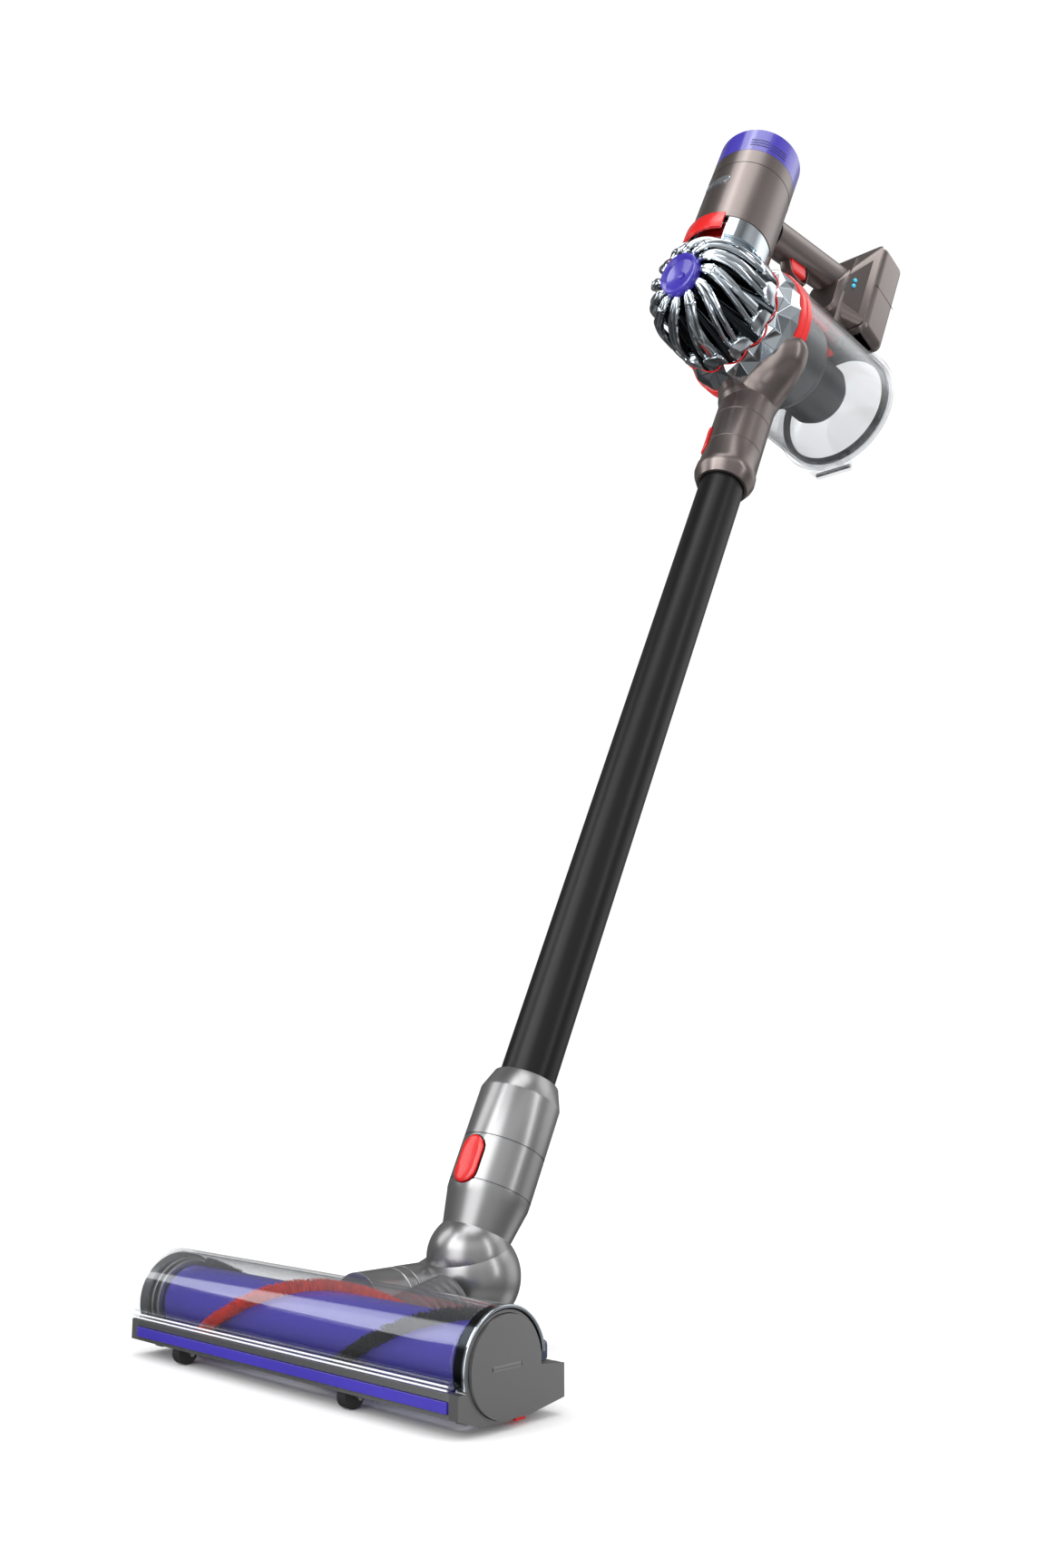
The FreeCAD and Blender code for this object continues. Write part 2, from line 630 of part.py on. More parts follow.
def build_handle():
    """The round grip with its trigger slot, the trigger and the power slider."""
    grip = cylinder("grip_radius", "grip_length + 26", grip_frame * moved(z=-26))
    motor_room = cylinder("motor_radius", "200", motor_frame * moved(z=800))
    slot = block("13", "14", "27", grip_frame * moved(y=14, z=1))
    dock = extruded(
        [("pack_front - 0.05", "1000"), ("56", "998"), ("50", "935"), ("50", "903"),
         ("pack_front - 0.05", "903")],
        "40", wand_frame * sideways)
    keep(dock, "battery_dock")
    keep(cut(grip, motor_room, slot, dock), "handle_grip")
    trigger = block("12", "13.5", "24", grip_frame * moved(y=18.5, z=2.5))
    keep(rounded(trigger, 2.2), "trigger")
    slider = block("9", "3", "16", grip_frame * moved(y=-size("grip_radius") - 1.7, z=52))
    keep(rounded(slider, 0.9), "power_slider")


def build_battery():
    """The battery case, its back plate and cells, and the dock that joins it to the grip."""
    depth = "pack_rear - pack_front"
    middle = (size("pack_front") + size("pack_rear")) / 2
    place = wand_frame * moved(y=middle, z=size("pack_low"))
    outer = rounded(block("pack_half * 2", depth, "pack_high - pack_low", place),
                    size("pack_round"))
    wall = size("pack_wall")
    cavity = block("pack_half * 2 - pack_wall * 2 - 4", depth,
                   "pack_high - pack_low - pack_wall * 2",
                   place * moved(y=wall + 5, z=wall))
    back_room = block("200", "40", "200", wand_frame * moved(
        y=size("pack_rear") - wall + 20, z=size("pack_low") - 20))
    keep(cut(outer, cavity, back_room), "battery_case")
    back = block("200", "40", "200", wand_frame * moved(
        y=size("pack_rear") - wall + 20, z=size("pack_low") - 20))
    outer_back = rounded(block("pack_half * 2", depth, "pack_high - pack_low", place),
                         size("pack_round"))
    port = cylinder("port_radius", "20", wand_frame * moved(y=size("pack_rear") - 10, z=926)
                    * along_y)
    keep(cut(common(outer_back, back), port), "battery_back")
    count = int(size("cell_count"))
    pitch = 2 * size("cell_radius") + 0.2
    low = (size("pack_high") + size("pack_low") - pitch * count) / 2
    cells = [
        cylinder("cell_radius", "cell_length",
                 wand_frame * moved(y=middle + 2, z=low + pitch * (index + 0.5))
                 * along_x * moved(z=-size("cell_length") / 2))
        for index in range(count)
    ]
    keep(fuse(*cells), "battery_cells")
    catch = block("22", "10", "6", wand_frame * moved(y=78, z=size("pack_low") - 6.3))
    keep(rounded(catch, 2.0), "battery_catch")
    lights = [
        cylinder("1.9", "1.2", wand_frame * moved(x=20, y=66, z=967 + 7 * index) * along_x)
        for index in range(2)
    ]
    keep(fuse(*lights), "status_lights")


build_head()
build_elbow()
build_barrel()
build_neck()
build_wand()
build_inlet()
build_cyclone()
build_bin()
build_motor()
build_rod()
build_handle()
build_battery()


# Check and write -------------------------------------------------------------------------

doc.recompute()
for item in doc.Objects:
    if {"Invalid", "Error"} & set(item.State):
        raise RuntimeError(f"{item.Name} ({item.Label}) failed: {item.State}")
for item in sub_parts:
    if item.Shape.isNull() or not item.Shape.isValid():
        raise RuntimeError(f"{item.Label} has no valid shape")

os.makedirs("parts", exist_ok=True)
for item in sub_parts:
    item.Shape.exportStep(f"parts/{item.Label}.step")
print(len(sub_parts), "sub-parts written")
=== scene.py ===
"""Visual model of a cordless stick vacuum cleaner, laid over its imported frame."""
import json
import logging
import math
from dataclasses import dataclass, field
from enum import Enum
from typing import Callable, Sequence

import bmesh
import bpy
from mathutils import Matrix, Vector


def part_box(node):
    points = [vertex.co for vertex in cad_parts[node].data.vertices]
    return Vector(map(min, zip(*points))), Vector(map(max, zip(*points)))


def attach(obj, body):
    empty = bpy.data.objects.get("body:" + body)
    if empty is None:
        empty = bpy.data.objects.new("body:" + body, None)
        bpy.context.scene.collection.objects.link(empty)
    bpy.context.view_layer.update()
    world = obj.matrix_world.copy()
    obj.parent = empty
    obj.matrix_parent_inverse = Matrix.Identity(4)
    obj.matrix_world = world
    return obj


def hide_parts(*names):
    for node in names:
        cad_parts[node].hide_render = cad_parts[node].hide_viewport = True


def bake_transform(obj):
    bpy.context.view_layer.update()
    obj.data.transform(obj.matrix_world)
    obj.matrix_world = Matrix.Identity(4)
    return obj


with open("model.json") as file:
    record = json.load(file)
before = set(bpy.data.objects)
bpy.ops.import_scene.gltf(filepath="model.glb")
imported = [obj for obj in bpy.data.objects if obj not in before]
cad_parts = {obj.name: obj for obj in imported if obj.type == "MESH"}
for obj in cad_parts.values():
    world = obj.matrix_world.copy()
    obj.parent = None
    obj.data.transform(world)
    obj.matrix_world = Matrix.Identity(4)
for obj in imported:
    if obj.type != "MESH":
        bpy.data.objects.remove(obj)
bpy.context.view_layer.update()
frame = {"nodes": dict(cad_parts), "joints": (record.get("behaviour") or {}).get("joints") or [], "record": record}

LOG = logging.getLogger("stick_vacuum")
MM = 0.001
SHARP = 32  # degrees, past which an edge shows
MERGE = 0.001  # millimetres, within which points are one
Profile = Sequence[tuple[float, float]]


# Frames ---------------------------------------------------------------------------------


def joint(name: str) -> dict:
    """Return one joint of the frame by name."""
    return next(entry for entry in frame["joints"] if entry["name"] == name)


def turned_x(degrees: float) -> Matrix:
    """Return a rotation about X."""
    return Matrix.Rotation(math.radians(degrees), 4, "X")


def shifted(x: float = 0.0, y: float = 0.0, z: float = 0.0) -> Matrix:
    """Return a translation given in millimetres."""
    return Matrix.Translation(Vector((x, y, z)) * MM)


@dataclass(frozen=True)
class Axes:
    """The tilted working frames of the machine, worked out from the joints."""

    cyclone_tilt: float = 73.475

    @property
    def pivot(self) -> Vector:
        """Return the centre of the neck's ball."""
        return Vector(joint("neck_pitch")["pos_m"])

    @property
    def wand(self) -> Matrix:
        """Return the frame whose z axis runs up the wand from the ball."""
        up = -Vector(joint("wand_release")["axis"])
        back = Vector((0.0, up.z, -up.y))
        turn = Matrix((Vector((1, 0, 0)), back, up)).transposed().to_4x4()
        return Matrix.Translation(self.pivot) @ turn

    @property
    def cyclone(self) -> Matrix:
        """Return the frame whose z axis runs rearwards through the dust bin."""
        return self.wand @ shifted(y=-125.1, z=782.6) @ turned_x(-self.cyclone_tilt)

    @property
    def motor(self) -> Matrix:
        """Return the frame along the motor, level with the wand's own."""
        return self.wand @ shifted(y=-80.7)

    @property
    def roller(self) -> Matrix:
        """Return the frame at the roller's centre, parallel to the world."""
        return Matrix.Translation(Vector(joint("roller_spin")["pos_m"]))

    @property
    def across(self) -> Matrix:
        """Return the roller's frame with its z axis along the roller."""
        return self.roller @ Matrix.Rotation(math.pi / 2, 4, "Y")

    @property
    def barrel(self) -> Matrix:
        """Return the frame of the elbow's roll axis at the head, z rearwards."""
        place = Vector(joint("elbow_roll")["pos_m"])
        roller = Vector(joint("roller_spin")["pos_m"])
        return Matrix.Translation(Vector((place.x, roller.y, place.z))) @ turned_x(-90)


AXES = Axes()


# Node kit -------------------------------------------------------------------------------


def fill(tree: bpy.types.NodeTree, node: bpy.types.Node, inputs: dict[int | str, object]
         ) -> bpy.types.Node:
    """Fill a node's inputs, named or numbered, with sockets or plain values.

    Args:
        tree: The node's tree.
        node: The node.
        inputs: A socket or a value for each input.

    Returns:
        The node.
    """
    for key, value in inputs.items():
        if isinstance(value, bpy.types.NodeSocket):
            tree.links.new(value, node.inputs[key])
        else:
            node.inputs[key].default_value = value
    return node


def add_node(tree: bpy.types.NodeTree, kind: str, inputs: dict[int | str, object] | None = None
             ) -> bpy.types.Node:
    """Add a node of a kind to a tree, with its inputs filled."""
    return fill(tree, tree.nodes.new(kind), inputs or {})


def maths(tree: bpy.types.NodeTree, operation: str, a: object, b: object = 0.0,
          c: object = 0.0) -> bpy.types.NodeSocket:
    """Add one maths node.

    Args:
        tree: The tree to add to.
        operation: What the node does.
        a: Its first operand, a socket or a number.
        b: Its second operand.
        c: Its third operand.

    Returns:
        Its result.
    """
    node = tree.nodes.new("ShaderNodeMath")
    node.operation = operation
    return fill(tree, node, {0: a, 1: b, 2: c}).outputs[0]


def paint_ramp(node: bpy.types.Node, stops: Sequence[tuple[float, Sequence[float]]]) -> None:
    """Give a colour ramp its stops.

    Args:
        node: The node that holds the ramp.
        stops: A position and a colour for each stop, in rising order.
    """
    elements = node.color_ramp.elements
    elements.remove(elements[-1])
    for index, (position, colour) in enumerate(stops):
        stop = elements.new(position) if index else elements[0]
        stop.position = position
        stop.color = (*colour, 1.0)


# Finishes -------------------------------------------------------------------------------


@dataclass(frozen=True)
class Finish:
    """One moulded, plated or woven surface, built as a procedural material."""

    name: str
    slot: str
    colour: tuple[float, float, float]
    roughness: float = 0.3
    metallic: float = 0.0
    coat: float = 0.0
    ior: float = 1.5
    mottle: float = 0.06
    mottle_scale: float = 14.0
    grain: float = 0.02
    grain_scale: float = 900.0
    roughness_spread: float = 0.05
    stretch: tuple[float, float, float] = (1.0, 1.0, 1.0)
    glow: float = 0.0
    specular: float = 0.5
    thin: bool = False

    def material(self) -> bpy.types.Material:
        """Return the finish's material, built on first use."""
        return bpy.data.materials.get(self.name) or self._build()

    def _build(self) -> bpy.types.Material:
        """Build the node tree: mottled colour, varied roughness and a fine moulded grain."""
        material = bpy.data.materials.new(self.name)
        material.use_nodes = True
        tree = material.node_tree
        place = add_node(tree, "ShaderNodeTexCoord").outputs["Object"]
        mapping = add_node(tree, "ShaderNodeMapping", {"Vector": place, "Scale": self.stretch})

        def noise(scale: float, detail: float) -> bpy.types.NodeSocket:
            """Add a noise pattern with a scale in cells per metre."""
            return add_node(tree, "ShaderNodeTexNoise", {
                "Scale": scale, "Detail": detail, "Vector": mapping.outputs["Vector"],
            }).outputs["Fac"]

        shade = add_node(tree, "ShaderNodeValToRGB", {"Fac": noise(self.mottle_scale, 4.0)})
        paint_ramp(shade, [(position, [min(1.0, part * (1.0 + swing)) for part in self.colour])
                           for position, swing in ((0.3, -self.mottle), (0.7, self.mottle))])
        spread = add_node(tree, "ShaderNodeMapRange", {
            "Value": noise(self.mottle_scale * 5.0, 6.0),
            "To Min": max(0.0, self.roughness - self.roughness_spread),
            "To Max": self.roughness + self.roughness_spread})
        shader = fill(tree, tree.nodes["Principled BSDF"], {
            "Base Color": shade.outputs["Color"], "Roughness": spread.outputs["Result"],
            "Metallic": self.metallic, "Coat Weight": self.coat, "Coat Roughness": 0.06,
            "IOR": self.ior, "Specular IOR Level": self.specular,
            "Emission Color": (*self.colour, 1.0), "Emission Strength": self.glow})
        if self.grain > 0:
            bump = add_node(tree, "ShaderNodeBump", {
                "Strength": self.grain, "Distance": 0.001,
                "Height": noise(self.grain_scale, 2.0)})
            fill(tree, shader, {"Normal": bump.outputs["Normal"]})
        if self.thin:
            self._see_through(tree, shader)
        return material

    @staticmethod
    def _see_through(tree: bpy.types.NodeTree, shader: bpy.types.Node) -> None:
        """Let light straight through the wall, with a gloss that grows at grazing angles.

        Args:
            tree: The material's node tree.
            shader: The shader that gives the gloss.
        """
        wall = add_node(tree, "ShaderNodeBsdfTransparent", {"Color": (0.965, 0.97, 0.975, 1.0)})
        facing = add_node(tree, "ShaderNodeLayerWeight").outputs["Facing"]
        grazing = maths(tree, "MULTIPLY_ADD", maths(tree, "POWER", facing, 3.6), 0.6, 0.075)
        mix = add_node(tree, "ShaderNodeMixShader",
                       {0: grazing, 1: wall.outputs[0], 2: shader.outputs[0]})
        fill(tree, tree.nodes["Material Output"], {"Surface": mix.outputs[0]})


SILVER = Finish("silver_satin", "silver", (0.34, 0.34, 0.345), roughness=0.28, metallic=0.85,
                coat=0.12, mottle=0.025, grain=0.004, roughness_spread=0.015)
BRONZE = Finish("warm_grey_satin", "bronze", (0.215, 0.182, 0.172), roughness=0.29,
                metallic=0.85, coat=0.12, mottle=0.025, grain=0.004, roughness_spread=0.015)
BRONZE_SHADOW = Finish("warm_grey_shadow", "bronze", (0.085, 0.07, 0.066), roughness=0.34,
                       metallic=0.7, grain=0.004)
CHROME = Finish("smoked_chrome", "chrome_plastic", (0.62, 0.68, 0.73), roughness=0.06,
                metallic=1.0, grain=0.06, grain_scale=60.0, roughness_spread=0.03)
CHROME_DARK = Finish("dark_chrome", "chrome_plastic", (0.045, 0.052, 0.06), roughness=0.14,
                     metallic=1.0, grain=0.05, grain_scale=70.0)
PURPLE = Finish("violet_gloss", "purple", (0.05, 0.034, 0.4), roughness=0.24, coat=0.6,
                mottle=0.1)
# Painted shade: this dark violet stands for the shade inside the cap's vent slots.
PURPLE_PAINTED_SHADE = Finish("violet_shadow", "purple", (0.02, 0.012, 0.16), roughness=0.4)
RED = Finish("red_gloss", "red", (0.72, 0.008, 0.008), roughness=0.26, coat=0.4)
CLEAR = Finish("clear_polycarbonate", "clear", (0.86, 0.88, 0.9), roughness=0.05,
               metallic=0.9, ior=1.45, mottle=0.02, grain=0.0, roughness_spread=0.02,
               thin=True)
SMOKE = Finish("smoked_clear", "smoke_blue", (0.03, 0.05, 0.09), roughness=0.08, coat=0.8)
TUBE_BLACK = Finish("black_anodised", "black_tube", (0.0035, 0.0035, 0.004), roughness=0.33,
                    specular=0.32, grain=0.02, stretch=(1.0, 1.0, 0.1))
DARK = Finish("dark_moulding", "dark_plastic", (0.022, 0.022, 0.024), roughness=0.38)
MESH_GREY = Finish("shroud_grey", "mesh_grey", (0.13, 0.135, 0.14), roughness=0.3, metallic=0.6)
METAL = Finish("turned_metal", "motor_metal", (0.5, 0.5, 0.5), roughness=0.3, metallic=1.0)
STEEL = Finish("pin_steel", "steel", (0.6, 0.6, 0.6), roughness=0.25, metallic=1.0)
RUBBER = Finish("soft_rubber", "rubber", (0.03, 0.03, 0.03), roughness=0.6, grain=0.1)
HOSE_GREY = Finish("hose_grey", "rubber", (0.12, 0.12, 0.125), roughness=0.38, metallic=0.3)
PLEATS = Finish("filter_fleece", "filter", (0.8, 0.8, 0.78), roughness=0.9, grain=0.3)
BRISTLE_RED = Finish("red_nylon", "red_bristle", (0.78, 0.035, 0.012), roughness=0.4,
                     mottle=0.25, mottle_scale=220.0)
BRISTLE_BLACK = Finish("black_fibre", "black_bristle", (0.012, 0.012, 0.012), roughness=0.45,
                       mottle=0.4, mottle_scale=220.0)
CELL_WRAP = Finish("cell_wrap", "cell_wrap", (0.05, 0.18, 0.4), roughness=0.35)
LIGHT_BLUE = Finish("blue_light", "blue_light", (0.05, 0.55, 1.0), roughness=0.2, glow=4.0)
# Painted highlight: near-white opaque paint on the clear lip's ribs, standing in for the light they catch.
LIP_PAINTED_HIGHLIGHT = Finish("lip_painted_highlight", "clear", (0.9, 0.92, 0.95), roughness=0.08, coat=1.0,
                    mottle=0.02, grain=0.0)
BADGE = Finish("blank_plate", "badge_metal", (0.62, 0.66, 0.7), roughness=0.18, metallic=0.9,
               mottle=0.03)

NODE_FINISHES = {"airway_neck": CHROME, "cyclone_core": CHROME_DARK, "inner_cone": DARK}
CAD_FINISHES = {
    "silver": SILVER, "bronze": BRONZE, "chrome_plastic": CHROME_DARK, "purple": PURPLE,
    "red": RED, "clear": CLEAR, "smoke_blue": SMOKE, "black_tube": TUBE_BLACK,
    "dark_plastic": DARK, "mesh_grey": MESH_GREY, "motor_metal": METAL, "steel": STEEL,
    "rubber": RUBBER, "filter": PLEATS, "red_bristle": BRISTLE_RED,
    "black_bristle": BRISTLE_BLACK, "cell_wrap": CELL_WRAP, "blue_light": LIGHT_BLUE,
    "badge_metal": BADGE,
}


# Mesh kit -------------------------------------------------------------------------------


class Edges(Enum):
    """How the sharp edges of a piece are finished."""

    CRISP = 0.0
    FINE = 0.25
    SOFT = 0.7
    ROUND = 1.6


def polar(radius: float, angle: float, height: float) -> Vector:
    """Return the point at a radius, an angle and a height of the z axis."""
    return Vector((radius * math.cos(angle), radius * math.sin(angle), height))


def in_scene(name: str, data: bpy.types.ID) -> bpy.types.Object:
    """Make an object of some data and link it to the scene.

    Args:
        name: The object's name.
        data: Its mesh, light or camera.

    Returns:
        The object.
    """
    item = bpy.data.objects.new(name, data)
    bpy.context.scene.collection.objects.link(item)
    return item


def evaluated(item: bpy.types.Object) -> bpy.types.Mesh:
    """Return an object's mesh as its modifiers leave it.

    Args:
        item: The object.

    Returns:
        The mesh.
    """
    graph = bpy.context.evaluated_depsgraph_get()
    graph.update()
    return bpy.data.meshes.new_from_object(item.evaluated_get(graph), depsgraph=graph)


def bevel(piece: bpy.types.Object, edges: Edges, segments: int, angle: float) -> None:
    """Round a piece's sharp edges.

    Args:
        piece: The piece.
        edges: The width.
        segments: Steps across the rounding.
        angle: The least angle of an edge that is rounded, in degrees.
    """
    rounding = piece.modifiers.new("rounding", "BEVEL")
    rounding.width = edges.value * MM
    rounding.segments = segments
    rounding.limit_method = "ANGLE"
    rounding.angle_limit = math.radians(angle)
    rounding.harden_normals = True


def make_piece(name: str, mesh: bpy.types.Mesh, finish: Finish, body: str,
               edges: Edges = Edges.CRISP, replaces: Sequence[str] = ()) -> bpy.types.Object:
    """Turn a mesh into a finished piece that rides on a body.

    Args:
        name: The piece's name.
        mesh: Its mesh, already in place.
        finish: Its surface.
        body: The body it rides on.
        edges: The size of bevel on its sharp edges.
        replaces: CAD nodes that it stands for.

    Returns:
        The new object.
    """
    mesh.name = name
    piece = in_scene(name, mesh)
    if not mesh.materials:
        mesh.materials.append(finish.material())
    mesh.shade_smooth()
    mesh.set_sharp_from_angle(angle=math.radians(SHARP))
    if edges is not Edges.CRISP:
        bevel(piece, edges, 2, SHARP)
    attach(piece, body)
    if replaces:
        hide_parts(*replaces)
    LOG.info("%s: %d faces on %s", name, len(mesh.polygons), body)
    return piece


def mesh_from(bm: bmesh.types.BMesh, place: Matrix) -> bpy.types.Mesh:
    """Close a bmesh into a mesh in world metres, with its faces outwards.

    Args:
        bm: The bmesh, in local millimetres.
        place: The local frame.

    Returns:
        The mesh.
    """
    bmesh.ops.remove_doubles(bm, verts=bm.verts, dist=MERGE)
    bmesh.ops.recalc_face_normals(bm, faces=bm.faces)
    bmesh.ops.scale(bm, vec=(MM, MM, MM), verts=bm.verts)
    bmesh.ops.transform(bm, matrix=place, verts=bm.verts)
    mesh = bpy.data.meshes.new("mesh")
    bm.to_mesh(mesh)
    bm.free()
    return mesh


def skin_rings(bm: bmesh.types.BMesh, rings: Sequence[Sequence[Vector]], closed: bool,
               caps: bool = False) -> None:
    """Join rings of points into a skin.

    Args:
        bm: The bmesh to add to.
        rings: Rings with equal numbers of points.
        closed: Whether the last ring joins the first.
        caps: Whether the end rings get a face.
    """
    rows = [[bm.verts.new(point) for point in ring] for ring in rings]
    count = len(rows[0])
    last = len(rows) if closed else len(rows) - 1
    for row in range(last):
        low = rows[row]
        high = rows[(row + 1) % len(rows)]
        for index in range(count):
            following = (index + 1) % count
            bm.faces.new((low[index], low[following], high[following], high[index]))
    if caps:
        bm.faces.new(list(reversed(rows[0])))
        bm.faces.new(rows[-1])


def skinned(rings: Sequence[Sequence[Vector]], place: Matrix) -> bpy.types.Mesh:
    """Join rings of points into a solid with flat ends.

    Args:
        rings: Rings with equal numbers of points, in millimetres.
        place: The frame.

    Returns:
        The mesh.
    """
    bm = bmesh.new()
    skin_rings(bm, rings, closed=False, caps=True)
    return mesh_from(bm, place)


def lathe(profile: Profile, place: Matrix, segments: int = 96,
          arc: tuple[float, float] | None = None) -> bpy.types.Mesh:
    """Turn a closed outline of (radius, height) corners about the frame's z axis.

    Args:
        profile: Corners in millimetres.
        place: The frame.
        segments: Steps round the turn.
        arc: First and last angle in degrees, where it isn't a full turn.

    Returns:
        The mesh.
    """
    bm = bmesh.new()
    rings = []
    first, last = (math.radians(end) for end in arc) if arc else (0.0, math.tau)
    for step in range(segments + 1 if arc else segments):
        angle = first + (last - first) * step / segments
        rings.append([polar(radius, angle, height) for radius, height in profile])
    skin_rings(bm, rings, closed=arc is None, caps=arc is not None)
    bmesh.ops.remove_doubles(bm, verts=bm.verts, dist=MERGE)
    bmesh.ops.dissolve_degenerate(bm, edges=bm.edges, dist=0.0005)
    return mesh_from(bm, place)


def rounded_profile(profile: Profile, radius: float, steps: int = 4) -> list[tuple[float, float]]:
    """Round the corners of an outline that lie off the axis.

    Args:
        profile: Corners of a closed outline.
        radius: The largest rounding.
        steps: Points per corner.

    Returns:
        The finer outline.
    """
    result: list[tuple[float, float]] = []
    count = len(profile)
    for index, (a, b) in enumerate(profile):
        here = Vector((a, b))
        before = Vector(profile[index - 1]) - here
        after = Vector(profile[(index + 1) % count]) - here
        if a < 0.01:
            result.append((a, b))
            continue
        reach = min(radius, before.length * 0.45, after.length * 0.45)
        start = here + before.normalized() * reach
        end = here + after.normalized() * reach
        for step in range(steps + 1):
            share = step / steps
            point = start.lerp(here, share).lerp(here.lerp(end, share), share)
            result.append((point.x, point.y))
    return result


def extrude_outline(outline: Profile, low: float, high: float, place: Matrix,
                    plane: Callable[[float, float, float], Vector]) -> bpy.types.Mesh:
    """Push a closed flat outline from one level to another.

    Args:
        outline: Corners in millimetres.
        low: The first level.
        high: The last level.
        place: The frame.
        plane: Maps outline coordinates and a level to a point.

    Returns:
        The mesh.
    """
    return skinned([[plane(a, b, level) for a, b in outline] for level in (low, high)], place)


def across_x(a: float, b: float, level: float) -> Vector:
    """Map an outline in the Y-Z plane, pushed along X."""
    return Vector((level, a, b))


def along_path(path: Sequence[Vector], radii: Sequence[tuple[float, float]],
               place: Matrix, side: Vector = Vector((1, 0, 0)), segments: int = 24
               ) -> bpy.types.Mesh:
    """Sweep an oval along a path, with its own half widths at each point.

    Args:
        path: Points in millimetres.
        radii: Half widths across and along the side direction at each point.
        place: The frame.
        side: The direction of the second half width.
        segments: Points round the oval.

    Returns:
        The mesh.
    """
    rings = []
    for index, point in enumerate(path):
        before = path[max(index - 1, 0)]
        after = path[min(index + 1, len(path) - 1)]
        heading = (after - before).normalized()
        other = heading.cross(side).normalized()
        near = other.cross(heading).normalized()
        wide, thick = radii[index]
        rings.append([
            point + other * wide * math.cos(math.tau * step / segments)
            + near * thick * math.sin(math.tau * step / segments)
            for step in range(segments)
        ])
    return skinned(rings, place)


def pipe(corners: Sequence[Sequence[float]], widths: Sequence[float], place: Matrix,
         side: Vector, segments: int, steps: int = 6, deep: float = 1.0) -> bpy.types.Mesh:
    """Sweep a pipe smoothly through a few corners, with widths spread along it.

    Args:
        corners: Points in millimetres.
        widths: Radii, evenly spread along the pipe.
        place: The frame.
        side: The direction of the second half width.
        segments: Points round the pipe.
        steps: Rings between corners.
        deep: The second half width, as a share of the first.

    Returns:
        The mesh.
    """
    guide = smooth_path(corners, steps)
    sizes = blend_values(widths, len(guide))
    return along_path(guide, [(w, w * deep) for w in sizes], place, side, segments)


def smooth_path(points: Sequence[Sequence[float]], steps: int = 8) -> list[Vector]:
    """Return a Catmull-Rom curve through points.

    Args:
        points: Points in millimetres.
        steps: Points from one to the next.

    Returns:
        The curve's points.
    """
    points = [Vector(point) for point in points]
    result = []
    for index in range(len(points) - 1):
        a = points[max(index - 1, 0)]
        b = points[index]
        c = points[index + 1]
        d = points[min(index + 2, len(points) - 1)]
        for step in range(steps):
            u = step / steps
            result.append(0.5 * ((2 * b) + (c - a) * u + (2 * a - 5 * b + 4 * c - d) * u * u
                                 + (3 * b - a - 3 * c + d) * u ** 3))
    result.append(points[-1])
    return result


def blend_values(values: Sequence[float], count: int) -> list[float]:
    """Spread a few values evenly over a count of places, joined by straight steps.

    Args:
        values: The values.
        count: How many places.

    Returns:
        A value for each place.
    """
    result = []
    for index in range(count):
        share = index / (count - 1) * (len(values) - 1)
        low = min(int(share), len(values) - 2)
        result.append(values[low] + (values[low + 1] - values[low]) * (share - low))
    return result


# Geometry Nodes -------------------------------------------------------------------------


def run_tree(tree: bpy.types.NodeTree, values: dict[str, object],
             source: bpy.types.Mesh | None = None) -> bpy.types.Mesh:
    """Run a geometry tree on a mesh and keep the result as a plain mesh.

    Args:
        tree: The tree.
        values: Its inputs by name.
        source: The mesh that goes in.

    Returns:
        The resulting mesh.
    """
    carrier = in_scene("carrier", source or bpy.data.meshes.new("carrier"))
    modifier = carrier.modifiers.new("tree", "NODES")
    modifier.node_group = tree
    for item in tree.interface.items_tree:
        if item.item_type == "SOCKET" and item.in_out == "INPUT" and item.name in values:
            modifier[item.identifier] = values[item.name]
    carrier.data.update()
    result = evaluated(carrier)
    bpy.data.objects.remove(carrier)
    return result


def tree_with(name: str, inputs: dict[str, tuple[str, object]]
              ) -> tuple[bpy.types.NodeTree, bpy.types.NodeOutputs]:
    """Start a geometry tree with named inputs.

    Args:
        name: The tree's name.
        inputs: Socket type and default for each input.

    Returns:
        The tree, and the sockets that give its inputs.
    """
    tree = bpy.data.node_groups.new(name, "GeometryNodeTree")
    tree.interface.new_socket("Geometry", in_out="INPUT", socket_type="NodeSocketGeometry")
    for label, (kind, default) in inputs.items():
        socket = tree.interface.new_socket(label, in_out="INPUT",
                                           socket_type=f"NodeSocket{kind}")
        if default is not None:
            socket.default_value = default
    tree.interface.new_socket("Geometry", in_out="OUTPUT", socket_type="NodeSocketGeometry")
    return tree, tree.nodes.new("NodeGroupInput").outputs


